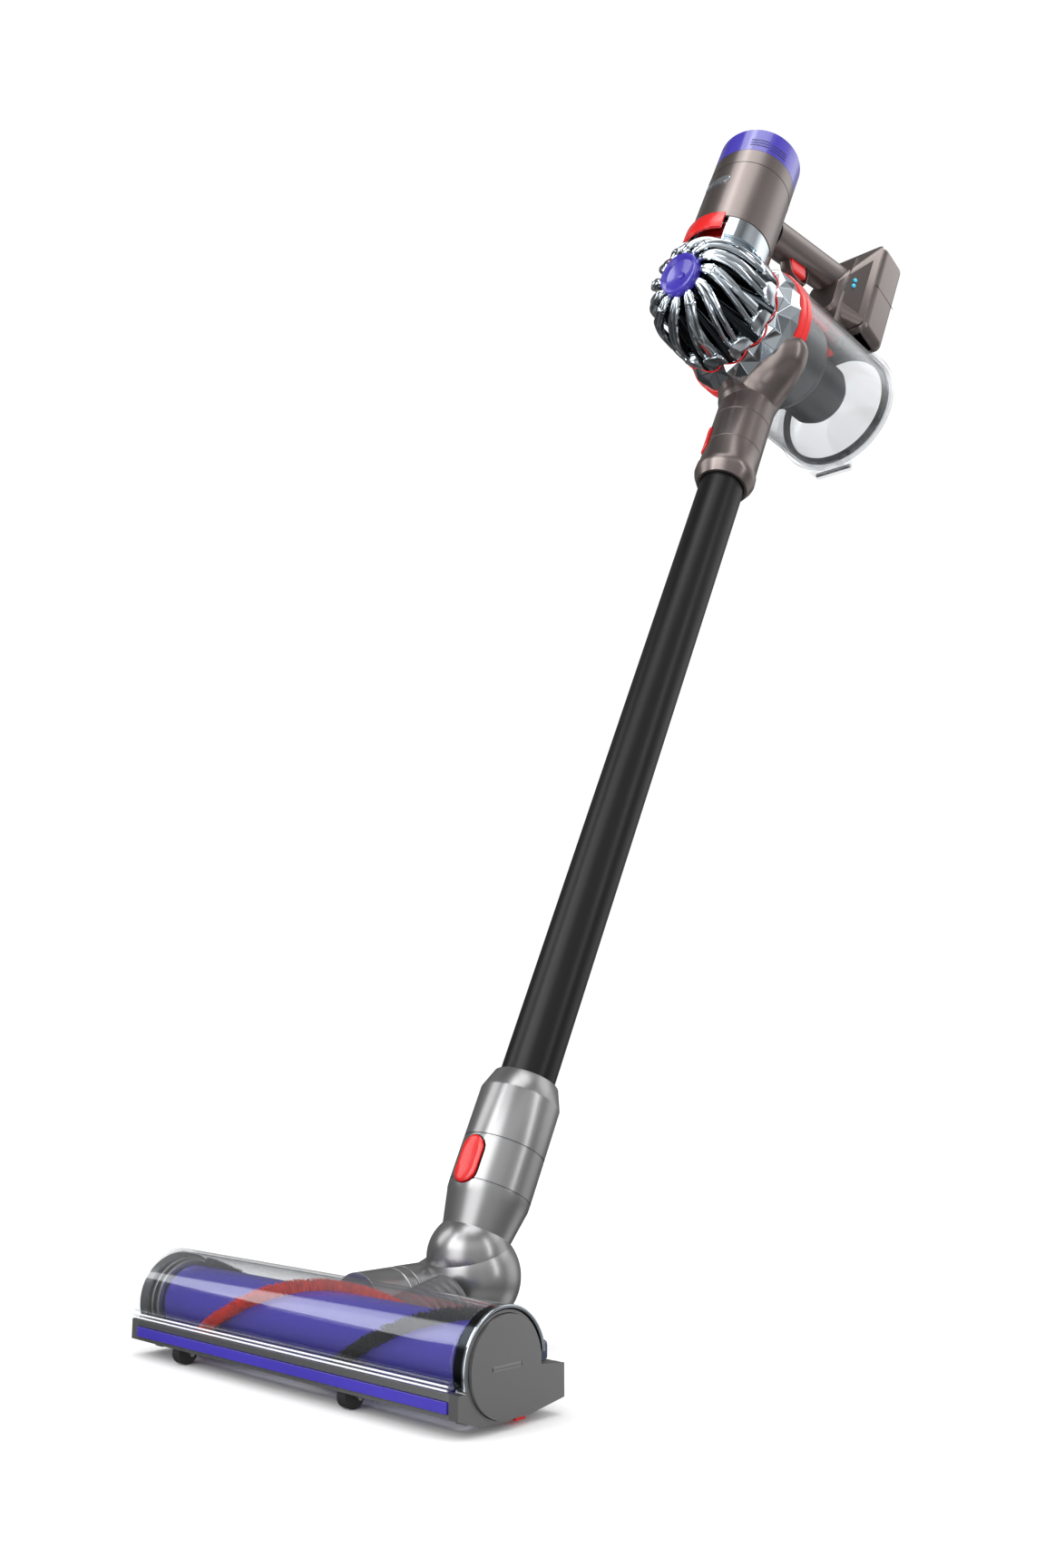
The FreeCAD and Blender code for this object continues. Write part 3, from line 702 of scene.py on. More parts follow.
def bristle_tree() -> bpy.types.NodeTree:
    """Build the tree that plants a helical band of bristles round the X axis.

    Returns:
        The tree. Its sizes are metres and its angles radians.
    """
    tree, given = tree_with("bristle_row", {
        "Count": ("Int", 1200), "Half Length": ("Float", 0.12), "Start": ("Float", 0.0),
        "Sweep": ("Float", -4.0), "Band": ("Float", 0.06), "Root": ("Float", 0.02),
        "Tip": ("Float", 0.026), "Thickness": ("Float", 0.0003), "Seed": ("Int", 7),
        "Material": ("Material", None),
    })
    line = add_node(tree, "GeometryNodeMeshLine", {"Count": given["Count"]})
    index = add_node(tree, "GeometryNodeInputIndex").outputs[0]
    share = maths(tree, "DIVIDE", index, given["Count"])

    def scatter(low: float, high: float, offset: int) -> bpy.types.NodeSocket:
        """Add a seeded random number for each bristle.

        Args:
            low: The least.
            high: The greatest.
            offset: What is added to the seed.

        Returns:
            The number.
        """
        seed = maths(tree, "ADD", given["Seed"], float(offset))
        return add_node(tree, "FunctionNodeRandomValue",
                        {2: low, 3: high, "ID": index, "Seed": seed}).outputs[1]

    along = maths(tree, "MULTIPLY_ADD", share, 2.0, -1.0)
    angle = maths(tree, "MULTIPLY_ADD", share, given["Sweep"], given["Start"])
    angle = maths(tree, "MULTIPLY_ADD", scatter(-0.5, 0.5, 1), given["Band"], angle)
    spot = add_node(tree, "ShaderNodeCombineXYZ", {
        0: maths(tree, "MULTIPLY", along, given["Half Length"]),
        1: maths(tree, "MULTIPLY", maths(tree, "COSINE", angle), given["Root"]),
        2: maths(tree, "MULTIPLY", maths(tree, "SINE", angle), given["Root"])})
    move = add_node(tree, "GeometryNodeSetPosition",
                    {"Geometry": line.outputs[0], "Position": spot.outputs[0]})
    hair = add_node(tree, "GeometryNodeMeshCone", {
        "Vertices": 4, "Radius Bottom": given["Thickness"],
        "Radius Top": maths(tree, "MULTIPLY", given["Thickness"], 0.6),
        "Depth": maths(tree, "SUBTRACT", given["Tip"], given["Root"])})
    upright = maths(tree, "SUBTRACT", angle, math.pi / 2)
    tilt = add_node(tree, "ShaderNodeCombineXYZ", {
        0: maths(tree, "ADD", upright, scatter(-0.12, 0.12, 2)), 1: scatter(-0.12, 0.12, 3)})
    size = add_node(tree, "ShaderNodeCombineXYZ", {0: 1.0, 1: 1.0, 2: scatter(0.78, 1.0, 4)})
    plant = add_node(tree, "GeometryNodeInstanceOnPoints", {
        "Points": move.outputs[0], "Instance": hair.outputs[0],
        "Rotation": tilt.outputs[0], "Scale": size.outputs[0]})
    finish_tree(tree, plant.outputs[0], given["Material"])
    return tree


def ring_tree() -> bpy.types.NodeTree:
    """Build the tree that repeats a piece round the Z axis.

    Returns:
        The tree.
    """
    tree, given = tree_with("ring_of_pieces", {
        "Count": ("Int", 12), "Phase": ("Float", 0.0), "Material": ("Material", None)})
    single = add_node(tree, "GeometryNodeGeometryToInstance", {0: given["Geometry"]})
    repeat = tree.nodes.new("GeometryNodeDuplicateElements")
    repeat.domain = "INSTANCE"
    fill(tree, repeat, {"Geometry": single.outputs[0], "Amount": given["Count"]})
    step = maths(tree, "DIVIDE", math.tau, given["Count"])
    angle = maths(tree, "MULTIPLY_ADD", repeat.outputs["Duplicate Index"], step, given["Phase"])
    around = add_node(tree, "ShaderNodeCombineXYZ", {2: angle})
    turn = add_node(tree, "GeometryNodeRotateInstances", {
        "Instances": repeat.outputs["Geometry"], "Local Space": False,
        "Rotation": around.outputs[0]})
    finish_tree(tree, turn.outputs[0], given["Material"])
    return tree


def finish_tree(tree: bpy.types.NodeTree, geometry: bpy.types.NodeSocket,
                material: bpy.types.NodeSocket) -> None:
    """End a tree in Realize Instances and Set Material.

    Args:
        tree: The tree.
        geometry: The instances.
        material: The material they get.
    """
    real = add_node(tree, "GeometryNodeRealizeInstances", {0: geometry})
    paint = add_node(tree, "GeometryNodeSetMaterial",
                     {"Geometry": real.outputs[0], "Material": material})
    add_node(tree, "NodeGroupOutput", {0: paint.outputs[0]})


def ring_of(name: str, single: bpy.types.Mesh, count: int, finish: Finish, body: str,
            place: Matrix, phase: float = 0.0, edges: Edges = Edges.CRISP,
            replaces: Sequence[str] = ()) -> bpy.types.Object:
    """Repeat one mesh round a frame's z axis and make one piece of the ring.

    Args:
        name: The piece's name.
        single: The mesh of one member, in local metres.
        count: Members round the ring.
        finish: Its surface.
        body: The body it rides on.
        place: The frame of the ring.
        phase: The first member's turn in radians.
        edges: The bevel on sharp edges.
        replaces: CAD nodes that it stands for.

    Returns:
        The piece.
    """
    tree = bpy.data.node_groups.get("ring_of_pieces") or ring_tree()
    mesh = run_tree(tree, {"Count": count, "Phase": phase, "Material": finish.material()},
                    single)
    mesh.transform(place)
    return make_piece(name, mesh, finish, body, edges, replaces)


# Carried-over nodes ---------------------------------------------------------------------


SOFT_NODES = {"battery_case": Edges.SOFT, "battery_back": Edges.SOFT, "trigger": Edges.ROUND,
              "head_base": Edges.SOFT, "power_slider": Edges.FINE, "bumper_strip": Edges.FINE,
              "eject_lever": Edges.SOFT}


def dress_frame() -> None:
    """Give every CAD node its procedural finish and smooth shading, with slightly bevelled edges on the soft nodes
    and split sharp edges on the rest.
    """
    slots = {entry["node"]: entry["material_slot"] for entry in frame["record"]["subparts"]}
    for name, node in frame["nodes"].items():
        node.data.materials.clear()
        finish = NODE_FINISHES.get(name, CAD_FINISHES[slots[name]])
        node.data.materials.append(finish.material())
        for polygon in node.data.polygons:
            polygon.use_smooth = True
        weld = node.modifiers.new("weld", "WELD")
        weld.merge_threshold = 0.00001
        if name in SOFT_NODES:
            flat = node.modifiers.new("flats", "DECIMATE")
            flat.decimate_type = "DISSOLVE"
            flat.angle_limit = math.radians(1.5)
            bevel(node, SOFT_NODES[name], 3, 40)
        else:
            split = node.modifiers.new("edges", "EDGE_SPLIT")
            split.split_angle = math.radians(30)


# Roller head ----------------------------------------------------------------------------


@dataclass
class RollerHead:
    """The powered head: cover, rims, roller with bristles, end cap and fittings."""

    half: float = 145.4
    cover: float = 28.8
    wall: float = 1.5
    core: float = 20.5
    tip: float = 26.2
    rim: float = 7.0
    body: str = "head"

    def build(self) -> None:
        """Build every piece of the head."""
        self.build_cover()
        self.build_rims()
        self.build_roller()
        self.build_cap()

    def arc(self, radius: float, start: float, end: float,
            steps: int = 40) -> list[tuple[float, float]]:
        """Return points of an arc round the roller from the rear over the top.

        Args:
            radius: Its radius in millimetres.
            start: Its first angle in degrees.
            end: Its last angle.
            steps: Segments.

        Returns:
            The points.
        """
        return [
            (radius * math.cos(math.radians(start + (end - start) * step / steps)),
             radius * math.sin(math.radians(start + (end - start) * step / steps)))
            for step in range(steps + 1)
        ]

    def build_cover(self) -> None:
        """Build the clear cover with its ribbed front lip."""
        outer = self.arc(self.cover, 18, 194)
        inner = self.arc(self.cover - self.wall, 194, 18)
        lip = [(-31.2, -7.2), (-31.6, -7.9), (-31.2, -8.4), (-30.2, -8.4), (-27.6, -8.2)]
        mesh = extrude_outline(outer + lip + inner, -self.half,
                               self.half - self.rim - 2.4, AXES.roller, across_x)
        make_piece("head_cover_clear", mesh, CLEAR, self.body, Edges.FINE, ["head_cover"])
        # The second and third ribs carry the painted highlight; the first stays clear.
        for index, (depth, level) in enumerate(((-29.4, -4.4), (-30.6, -6.2), (-31.2, -8.0))):
            rib = [Vector((x, depth, level)) for x in (-self.half + 1, 135.0)]
            mesh = along_path(rib, [(0.55, 0.5)] * 2, AXES.roller,
                              side=Vector((0, 0, 1)), segments=12)
            make_piece(f"cover_rib_{index}", mesh, LIP_PAINTED_HIGHLIGHT if index else CLEAR, self.body)

    def build_rims(self) -> None:
        """Build the dark and bright rims round the right end, and rings at the left."""
        for name, low, high, outer, inner, finish, node in (
                ("rim_dark", 136.2, 142.6, self.cover - 0.2, self.cover - 3.6, CHROME_DARK,
                 ["cover_rim"]),
                ("rim_bright", 142.4, 144.6, self.cover + 0.4, self.cover - 1.4, CHROME, [])):
            outline = self.arc(outer, 6, 196) + self.arc(inner, 196, 6)
            mesh = extrude_outline(outline, low, high, AXES.roller, across_x)
            make_piece(name, mesh, finish, self.body, Edges.SOFT, node)
        for index, x in enumerate((-134.0, -129.5)):
            ring = lathe(rounded_profile([(19, -1.2), (24.5 - index, -1.2), (24.5 - index, 1.2),
                                          (19, 1.2)], 0.6),
                         AXES.across @ shifted(z=x))
            make_piece(f"bearing_ring_{index}", ring, SILVER, self.body)

    def build_roller(self) -> None:
        """Build the smooth roller core and its rows of bristles."""
        core = lathe(rounded_profile(
            [(8.4, -127), (self.core, -127), (self.core, 127), (8.4, 127)], 1.5), AXES.across)
        make_piece("roller_shell", core, PURPLE, "roller", replaces=["roller_core"])
        tree = bristle_tree()
        rows = (("red_row", 259.0, BRISTLE_RED, ["bristles_red"]),
                ("black_row", 424.0, BRISTLE_BLACK, ["bristles_black"]))
        for seed, (name, start, finish, nodes) in enumerate(rows):
            mesh = run_tree(tree, {
                "Count": 4200, "Half Length": 0.1245, "Start": math.radians(start),
                "Sweep": math.radians(-330.0), "Band": 0.33, "Root": (self.core - 0.2) * MM,
                "Tip": self.tip * MM, "Thickness": 0.00036, "Seed": seed * 10,
                "Material": finish.material()})
            mesh.transform(AXES.roller)
            make_piece(name, mesh, finish, "roller", replaces=nodes)

    def build_cap(self) -> None:
        """Build the bright lining of the coin slot and the two marks on the rear block."""
        slot = [Vector((self.half - 0.2, y, 0.0)) for y in (-10.0, 10.0)]
        lining = along_path(slot, [(1.5, 0.35)] * 2, AXES.roller,
                            side=Vector((1, 0, 0)), segments=14)
        make_piece("slot_lining", lining, SILVER, "end_cap")
        for index, (y, z) in enumerate(((35.5, -14.0), (35.5, -8.5))):
            stud = lathe(rounded_profile([(0, -1), (2.2, -1), (2.2, 0.5), (0, 0.5)], 0.3),
                         AXES.roller @ shifted(x=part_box("head_base")[1].x / MM, y=y, z=z)
                         @ Matrix.Rotation(math.pi / 2, 4, "Y"), 32)
            make_piece(f"rear_stud_{index}", stud, SILVER, self.body, Edges.FINE)


# Shaped pads ----------------------------------------------------------------------------


def pill(half_width: float, half_length: float, steps: int = 10,
         sides: int = 10) -> list[tuple[float, float]]:
    """Return the outline of a slot with round ends, long side along the second axis.

    Args:
        half_width: Half its width, the radius of its ends.
        half_length: Half its length.
        steps: Segments round each end.
        sides: Segments along each straight side.

    Returns:
        The outline's corners.
    """
    straight = half_length - half_width
    points = []
    for end, first in ((straight, 0.0), (-straight, math.pi)):
        for step in range(steps + 1):
            angle = first + math.pi * step / steps
            points.append((half_width * math.cos(angle), end + half_width * math.sin(angle)))
        edge = half_width * math.cos(first + math.pi)
        for step in range(1, sides):
            points.append((edge, end * (1 - 2 * step / sides)))
    return points


def pad_on_tube(outline: Profile, layers: Sequence[tuple[float, float]],
                angle: float, height: float, place: Matrix) -> bpy.types.Mesh:
    """Wrap a flat outline round the frame's z axis as a cushion-shaped pad.

    Args:
        outline: Corners of the pad, flat, in millimetres.
        layers: Radius from the axis and scale of the outline, from bottom to top.
        angle: Where its middle lies, in degrees from the frame's x axis.
        height: Where its middle lies along the axis.
        place: The frame.

    Returns:
        The mesh.
    """
    base, first = layers[0]
    top, last = layers[-1]
    shares = (0.06, 0.25, 0.5, 0.75)
    full = [*((base, first * share) for share in shares), *layers,
            *((top, last * share) for share in reversed(shares))]
    rings = []
    for radius, scale in full:
        rings.append([
            polar(radius, math.radians(angle) + across * scale / base, height + along * scale)
            for across, along in outline
        ])
    return skinned(rings, place)


def with_pocket(mesh: bpy.types.Mesh, cutter: bpy.types.Mesh) -> bpy.types.Mesh:
    """Cut one mesh out of another and return the result as a plain mesh.

    Args:
        mesh: The solid to cut.
        cutter: The shape of the pocket.

    Returns:
        The cut mesh.
    """
    solid, tool = in_scene("solid", mesh), in_scene("tool", cutter)
    cut = solid.modifiers.new("pocket", "BOOLEAN")
    cut.operation = "DIFFERENCE"
    cut.solver = "EXACT"
    cut.object = tool
    result = evaluated(solid)
    for piece in (solid, tool):
        bpy.data.objects.remove(piece)
    return result


# Neck and wand --------------------------------------------------------------------------


@dataclass
class Wand:
    """The wand tube, the lower collar with its button, and the ball joint."""

    tube: float = 18.65
    collar: float = 27.0
    front: float = -90.0

    def build(self) -> None:
        """Build tube, collar, button, elbow, barrel and hose."""
        tube = lathe([(17.4, 84), (self.tube, 84), (self.tube, 690),
                                         (17.4, 690)], AXES.wand, 128)
        make_piece("wand_tube_black", tube, TUBE_BLACK, "wand", Edges.CRISP, ["wand_tube"])
        self.build_collar()
        self.build_elbow()
        self.build_hose()

    def build_collar(self) -> None:
        """Build the collar with its two seams and the release button."""
        wide = self.collar
        profile = [(19.2, 118.3), (21.2, 118.3), (22.0, 117.6), (wide - 0.3, 105.4),
                   (wide, 104.4), (wide, 70.8), (wide - 0.7, 70.5), (wide - 0.7, 69.9),
                   (wide, 69.6), (wide, 41.8), (wide - 0.7, 41.5), (wide - 0.7, 40.9),
                   (wide, 40.6), (wide - 0.2, 36.6), (wide - 1.0, 33), (22.3, 14.5),
                   (21.6, 12.0), (20.4, 10.5), (19.2, 14)]
        pocket = pad_on_tube(pill(8.9, 16.2), ((24.0, 1.0), (29.0, 1.0)),
                             self.front, 53, AXES.wand)
        shell = with_pocket(lathe(profile, AXES.wand, 128), pocket)
        make_piece("collar_shell", shell, SILVER, "neck", replaces=["neck_collar"])
        seat = pad_on_tube(pill(8.7, 16.0), ((23.6, 1.0), (24.3, 1.0)),
                           self.front, 53, AXES.wand)
        make_piece("button_seat", seat, DARK, "neck")
        cap = pad_on_tube(pill(8.2, 15.5),
                          ((26.0, 1.0), (28.0, 1.0), (28.5, 0.96), (28.75, 0.88),
                           (28.6, 0.6), (28.4, 0.3)), self.front, 53, AXES.wand)
        make_piece("neck_button_red", cap, RED, "neck_button", replaces=["neck_button"])

    def build_elbow(self) -> None:
        """Build the ball, the round elbow body and the barrel that leads to the head."""
        ball = [(26.4 * math.cos(turn), 26.4 * math.sin(turn))
                for turn in (math.radians(-52 + 86 * k / 24) for k in range(25))]
        shell = lathe([(15.5, -20.8), *ball, (21.2, 22.0), (21.2, 34.0),
                                     (15.5, 34.0)], AXES.wand, 96)
        make_piece("ball_shell", shell, SILVER, "neck", replaces=["neck_ball"])
        pivot = AXES.pivot / MM
        bm = bmesh.new()
        bmesh.ops.create_uvsphere(bm, u_segments=64, v_segments=36, radius=30.5)
        dome = mesh_from(bm, Matrix.Translation((pivot + Vector((0, 3, -12))) * MM))
        make_piece("elbow_dome", dome, SILVER, "elbow", replaces=["elbow_cup"])
        start = Vector((-22.0, pivot.y - 16.0, 30.0))
        body = pipe([start, start + Vector((2, 6, 1)), start + Vector((9, 12, 6)),
                     pivot + Vector((-5, 1, -19)), pivot + Vector((1, 3, -20))],
                    [22.3, 23.0, 23.0, 22.5, 17.0], Matrix.Identity(4), Vector((0, 0, 1)), 64,
                    steps=8)
        make_piece("elbow_body", body, SILVER, "elbow")
        drum = lathe(rounded_profile(
            [(12, 44.3), (22, 44.3), (22, 70.3), (21.5, 70.7), (21.5, 71.3), (22, 71.7),
             (22, 78.2), (12, 78.2)], 0.3), AXES.barrel, 96)
        make_piece("barrel_drum", drum, SILVER, "head", replaces=["barrel"])
        sleeve = lathe(rounded_profile(
            [(12, 78.8), (22.2, 78.8), (22.2, 101), (12, 101)], 0.5), AXES.barrel, 96)
        make_piece("elbow_sleeve", sleeve, SILVER, "elbow")

    def build_hose(self) -> None:
        """Build the ribbed hose as a straight tube between the elbow and the head."""
        low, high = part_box("hose")
        middle = (low + high) / 2
        length = (high.y - low.y) / MM
        reach = (high.x - low.x) / 2 / MM + 4.0
        count = 9
        profile = [(reach - 4.0, 0.0)]
        for rib in range(count):
            start = length * rib / count
            pitch = length / count
            profile += [(reach - 1.8, start + pitch * 0.05), (reach, start + pitch * 0.3),
                        (reach, start + pitch * 0.65), (reach - 1.8, start + pitch * 0.95)]
        profile.append((reach - 4.0, length))
        place = Matrix.Translation(Vector((middle.x, low.y, middle.z))) @ turned_x(-78)
        mesh = lathe(profile, place, 64)
        mesh.name = "hose_ribbed"
        piece = in_scene(mesh.name, mesh)
        mesh.materials.append(HOSE_GREY.material())
        mesh.shade_smooth()
        mesh.set_sharp_from_angle(angle=math.radians(50))
        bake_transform(piece)
        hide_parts("hose")
        LOG.info("hose_ribbed: %d faces, bends between elbow and head", len(mesh.polygons))


# Hand unit ------------------------------------------------------------------------------


@dataclass
class CyclonePack:
    """The chrome cyclones, from the front disc back to the red band."""

    count: int = 12
    hooks: int = 6
    body: str = "hand_unit"

    def build(self) -> None:
        """Build disc, fingers, cones, lobes, gasket, band and the faceted manifold."""
        self.build_disc()
        self.build_fingers()
        self.build_hooks()
        self.build_cones()
        self.build_manifold()
        self.build_band()

    def build_disc(self) -> None:
        """Build the dished disc in the middle of the pack."""
        profile = [(0, 9), (17.6, 9), (18.5, 7.6), (18.5, 1.2), (17.9, 0.2), (16.6, -0.2),
                   (15.2, 0.8), (13.6, 3.0), (8.0, 4.6), (3.2, 5.2), (2.9, 4.0), (0, 3.8)]
        make_piece("disc_dished", lathe(profile, AXES.cyclone, 96), PURPLE,
                   self.body, replaces=["front_disc"])

    def build_fingers(self) -> None:
        """Build the twin outlet ribs that fan out and curl behind the front disc."""
        for index, (lead, lift, width) in enumerate(((0.0, 0.0, 2.7), (8.4, -0.8, 2.4))):
            course = ((0.0, 17.5, 7.5), (3.0, 24.0, 5.6), (9.0, 32.5, 9.5), (17.0, 40.0, 18.0),
                      (24.0, 45.5, 31.0), (29.0, 48.0, 46.0), (31.0, 48.6, 58.0))
            points = [polar(radius + lift, math.radians(turn + lead * min(1.0, radius / 34.0)),
                            level) for turn, radius, level in course]
            single = pipe(points, [1.5, width, width, width, width * 0.9, width * 0.8],
                          Matrix.Identity(4), Vector((1, 0, 0.5)), 12, deep=1.25)
            ring_of(f"outlet_ribs_{index}", single, self.count, CHROME, self.body, AXES.cyclone)

    def build_hooks(self) -> None:
        """Build the short loops whose rounded ends stand between pairs of ribs."""
        points = []
        for step in range(13):
            turn = math.radians(-60 + 300 * step / 12)
            points.append(Vector((29.0 + 3.6 * math.cos(turn), 3.6 * math.sin(turn), 7.5)))
        loop = along_path(points, [(1.7, 1.7)] * len(points), Matrix.Identity(4),
                          side=Vector((0, 0, 1)), segments=10)
        ring_of("hook_loops", loop, self.hooks, CHROME, self.body, AXES.cyclone, phase=0.16)
        web = smooth_path([(31, 3, 10), (40, 8, 19), (45.5, 12, 34), (47.5, 14, 52)], 6)
        strap = along_path(web, [(4.4, 1.4)] * len(web), Matrix.Identity(4),
                           side=Vector((1, 0, 0.8)), segments=12)
        ring_of("hook_straps", strap, self.hooks, CHROME, self.body, AXES.cyclone, phase=0.16)

    def build_cones(self) -> None:
        """Build the dark cones under the ribs and the rounded lobes at their ends."""
        cone = lathe([(0, 16), (5.0, 16), (9.2, 62), (9.2, 74), (0, 74)],
                     shifted(x=24) @ Matrix.Rotation(math.radians(15), 4, "Y"), 20)
        ring_of("small_cones", cone, self.count, CHROME_DARK, self.body, AXES.cyclone,
                phase=0.3, replaces=["cyclone_cones"])
        outline = [(9.6, -6), (9.4, 2), (7.2, 6.8), (3.0, 9.4), (-3.0, 9.4), (-7.2, 6.8),
                   (-9.4, 2), (-9.6, -6)]
        lobe = pad_on_tube([(a, -b) for a, b in outline],
                           ((44.0, 1.0), (49.8, 1.0), (51.6, 0.9), (52.0, 0.6), (52.1, 0.2)),
                           33.0, 63.0, Matrix.Identity(4))
        ring_of("cone_lobes", lobe, self.count, CHROME, self.body, AXES.cyclone)

    def build_manifold(self) -> None:
        """Build the faceted rear part and the wavy gasket in front of it."""
        bm = bmesh.new()
        steps = self.count * 2
        levels = ((66.0, 46.0, 3.0), (76.0, 51.5, -2.6), (87.0, 54.6, 1.8), (98.5, 57.0, 0.0))
        rings = [[Vector((0, 0, 66))] * steps]
        for level, radius, swing in levels:
            rings.append([polar(radius + (swing if step % 2 else -swing),
                                math.tau * step / steps, level) for step in range(steps)])
        rings.append([Vector((0, 0, 98.5))] * steps)
        skin_rings(bm, rings, closed=False)
        bmesh.ops.remove_doubles(bm, verts=bm.verts, dist=MERGE)
        bmesh.ops.dissolve_degenerate(bm, edges=bm.edges, dist=0.0005)
        bmesh.ops.triangulate(bm, faces=bm.faces)
        mesh = mesh_from(bm, AXES.cyclone)
        make_piece("manifold_faceted", mesh, CHROME, self.body, Edges.SOFT,
                   ["cyclone_manifold"])
        mesh.shade_flat()
        rings = []
        for step in range(320):
            angle = math.tau * step / 320
            swing = abs(math.sin(self.count * angle / 2 + 0.2))
            centre = polar(50.4 + swing, angle, 66.5 + 6.0 * swing)
            out = polar(1.0, angle, 0.0)
            rings.append([
                centre + out * 0.8 * math.cos(turn) + Vector((0, 0, 0.55)) * math.sin(turn)
                for turn in (math.tau * k / 8 for k in range(8))
            ])
        bm = bmesh.new()
        skin_rings(bm, rings, closed=True)
        make_piece("red_gasket", mesh_from(bm, AXES.cyclone), RED, self.body)

    def build_band(self) -> None:
        """Build the red band in two steps."""
        profile = [(52, 98), (57.6, 98), (58.4, 98.8), (58.4, 103.6), (57.6, 104.3),
                   (57.6, 105.2), (58.6, 105.9), (58.6, 111.2), (57.8, 112), (52, 112)]
        make_piece("band_red", lathe(profile, AXES.cyclone, 128), RED, self.body,
                   replaces=["red_band"])


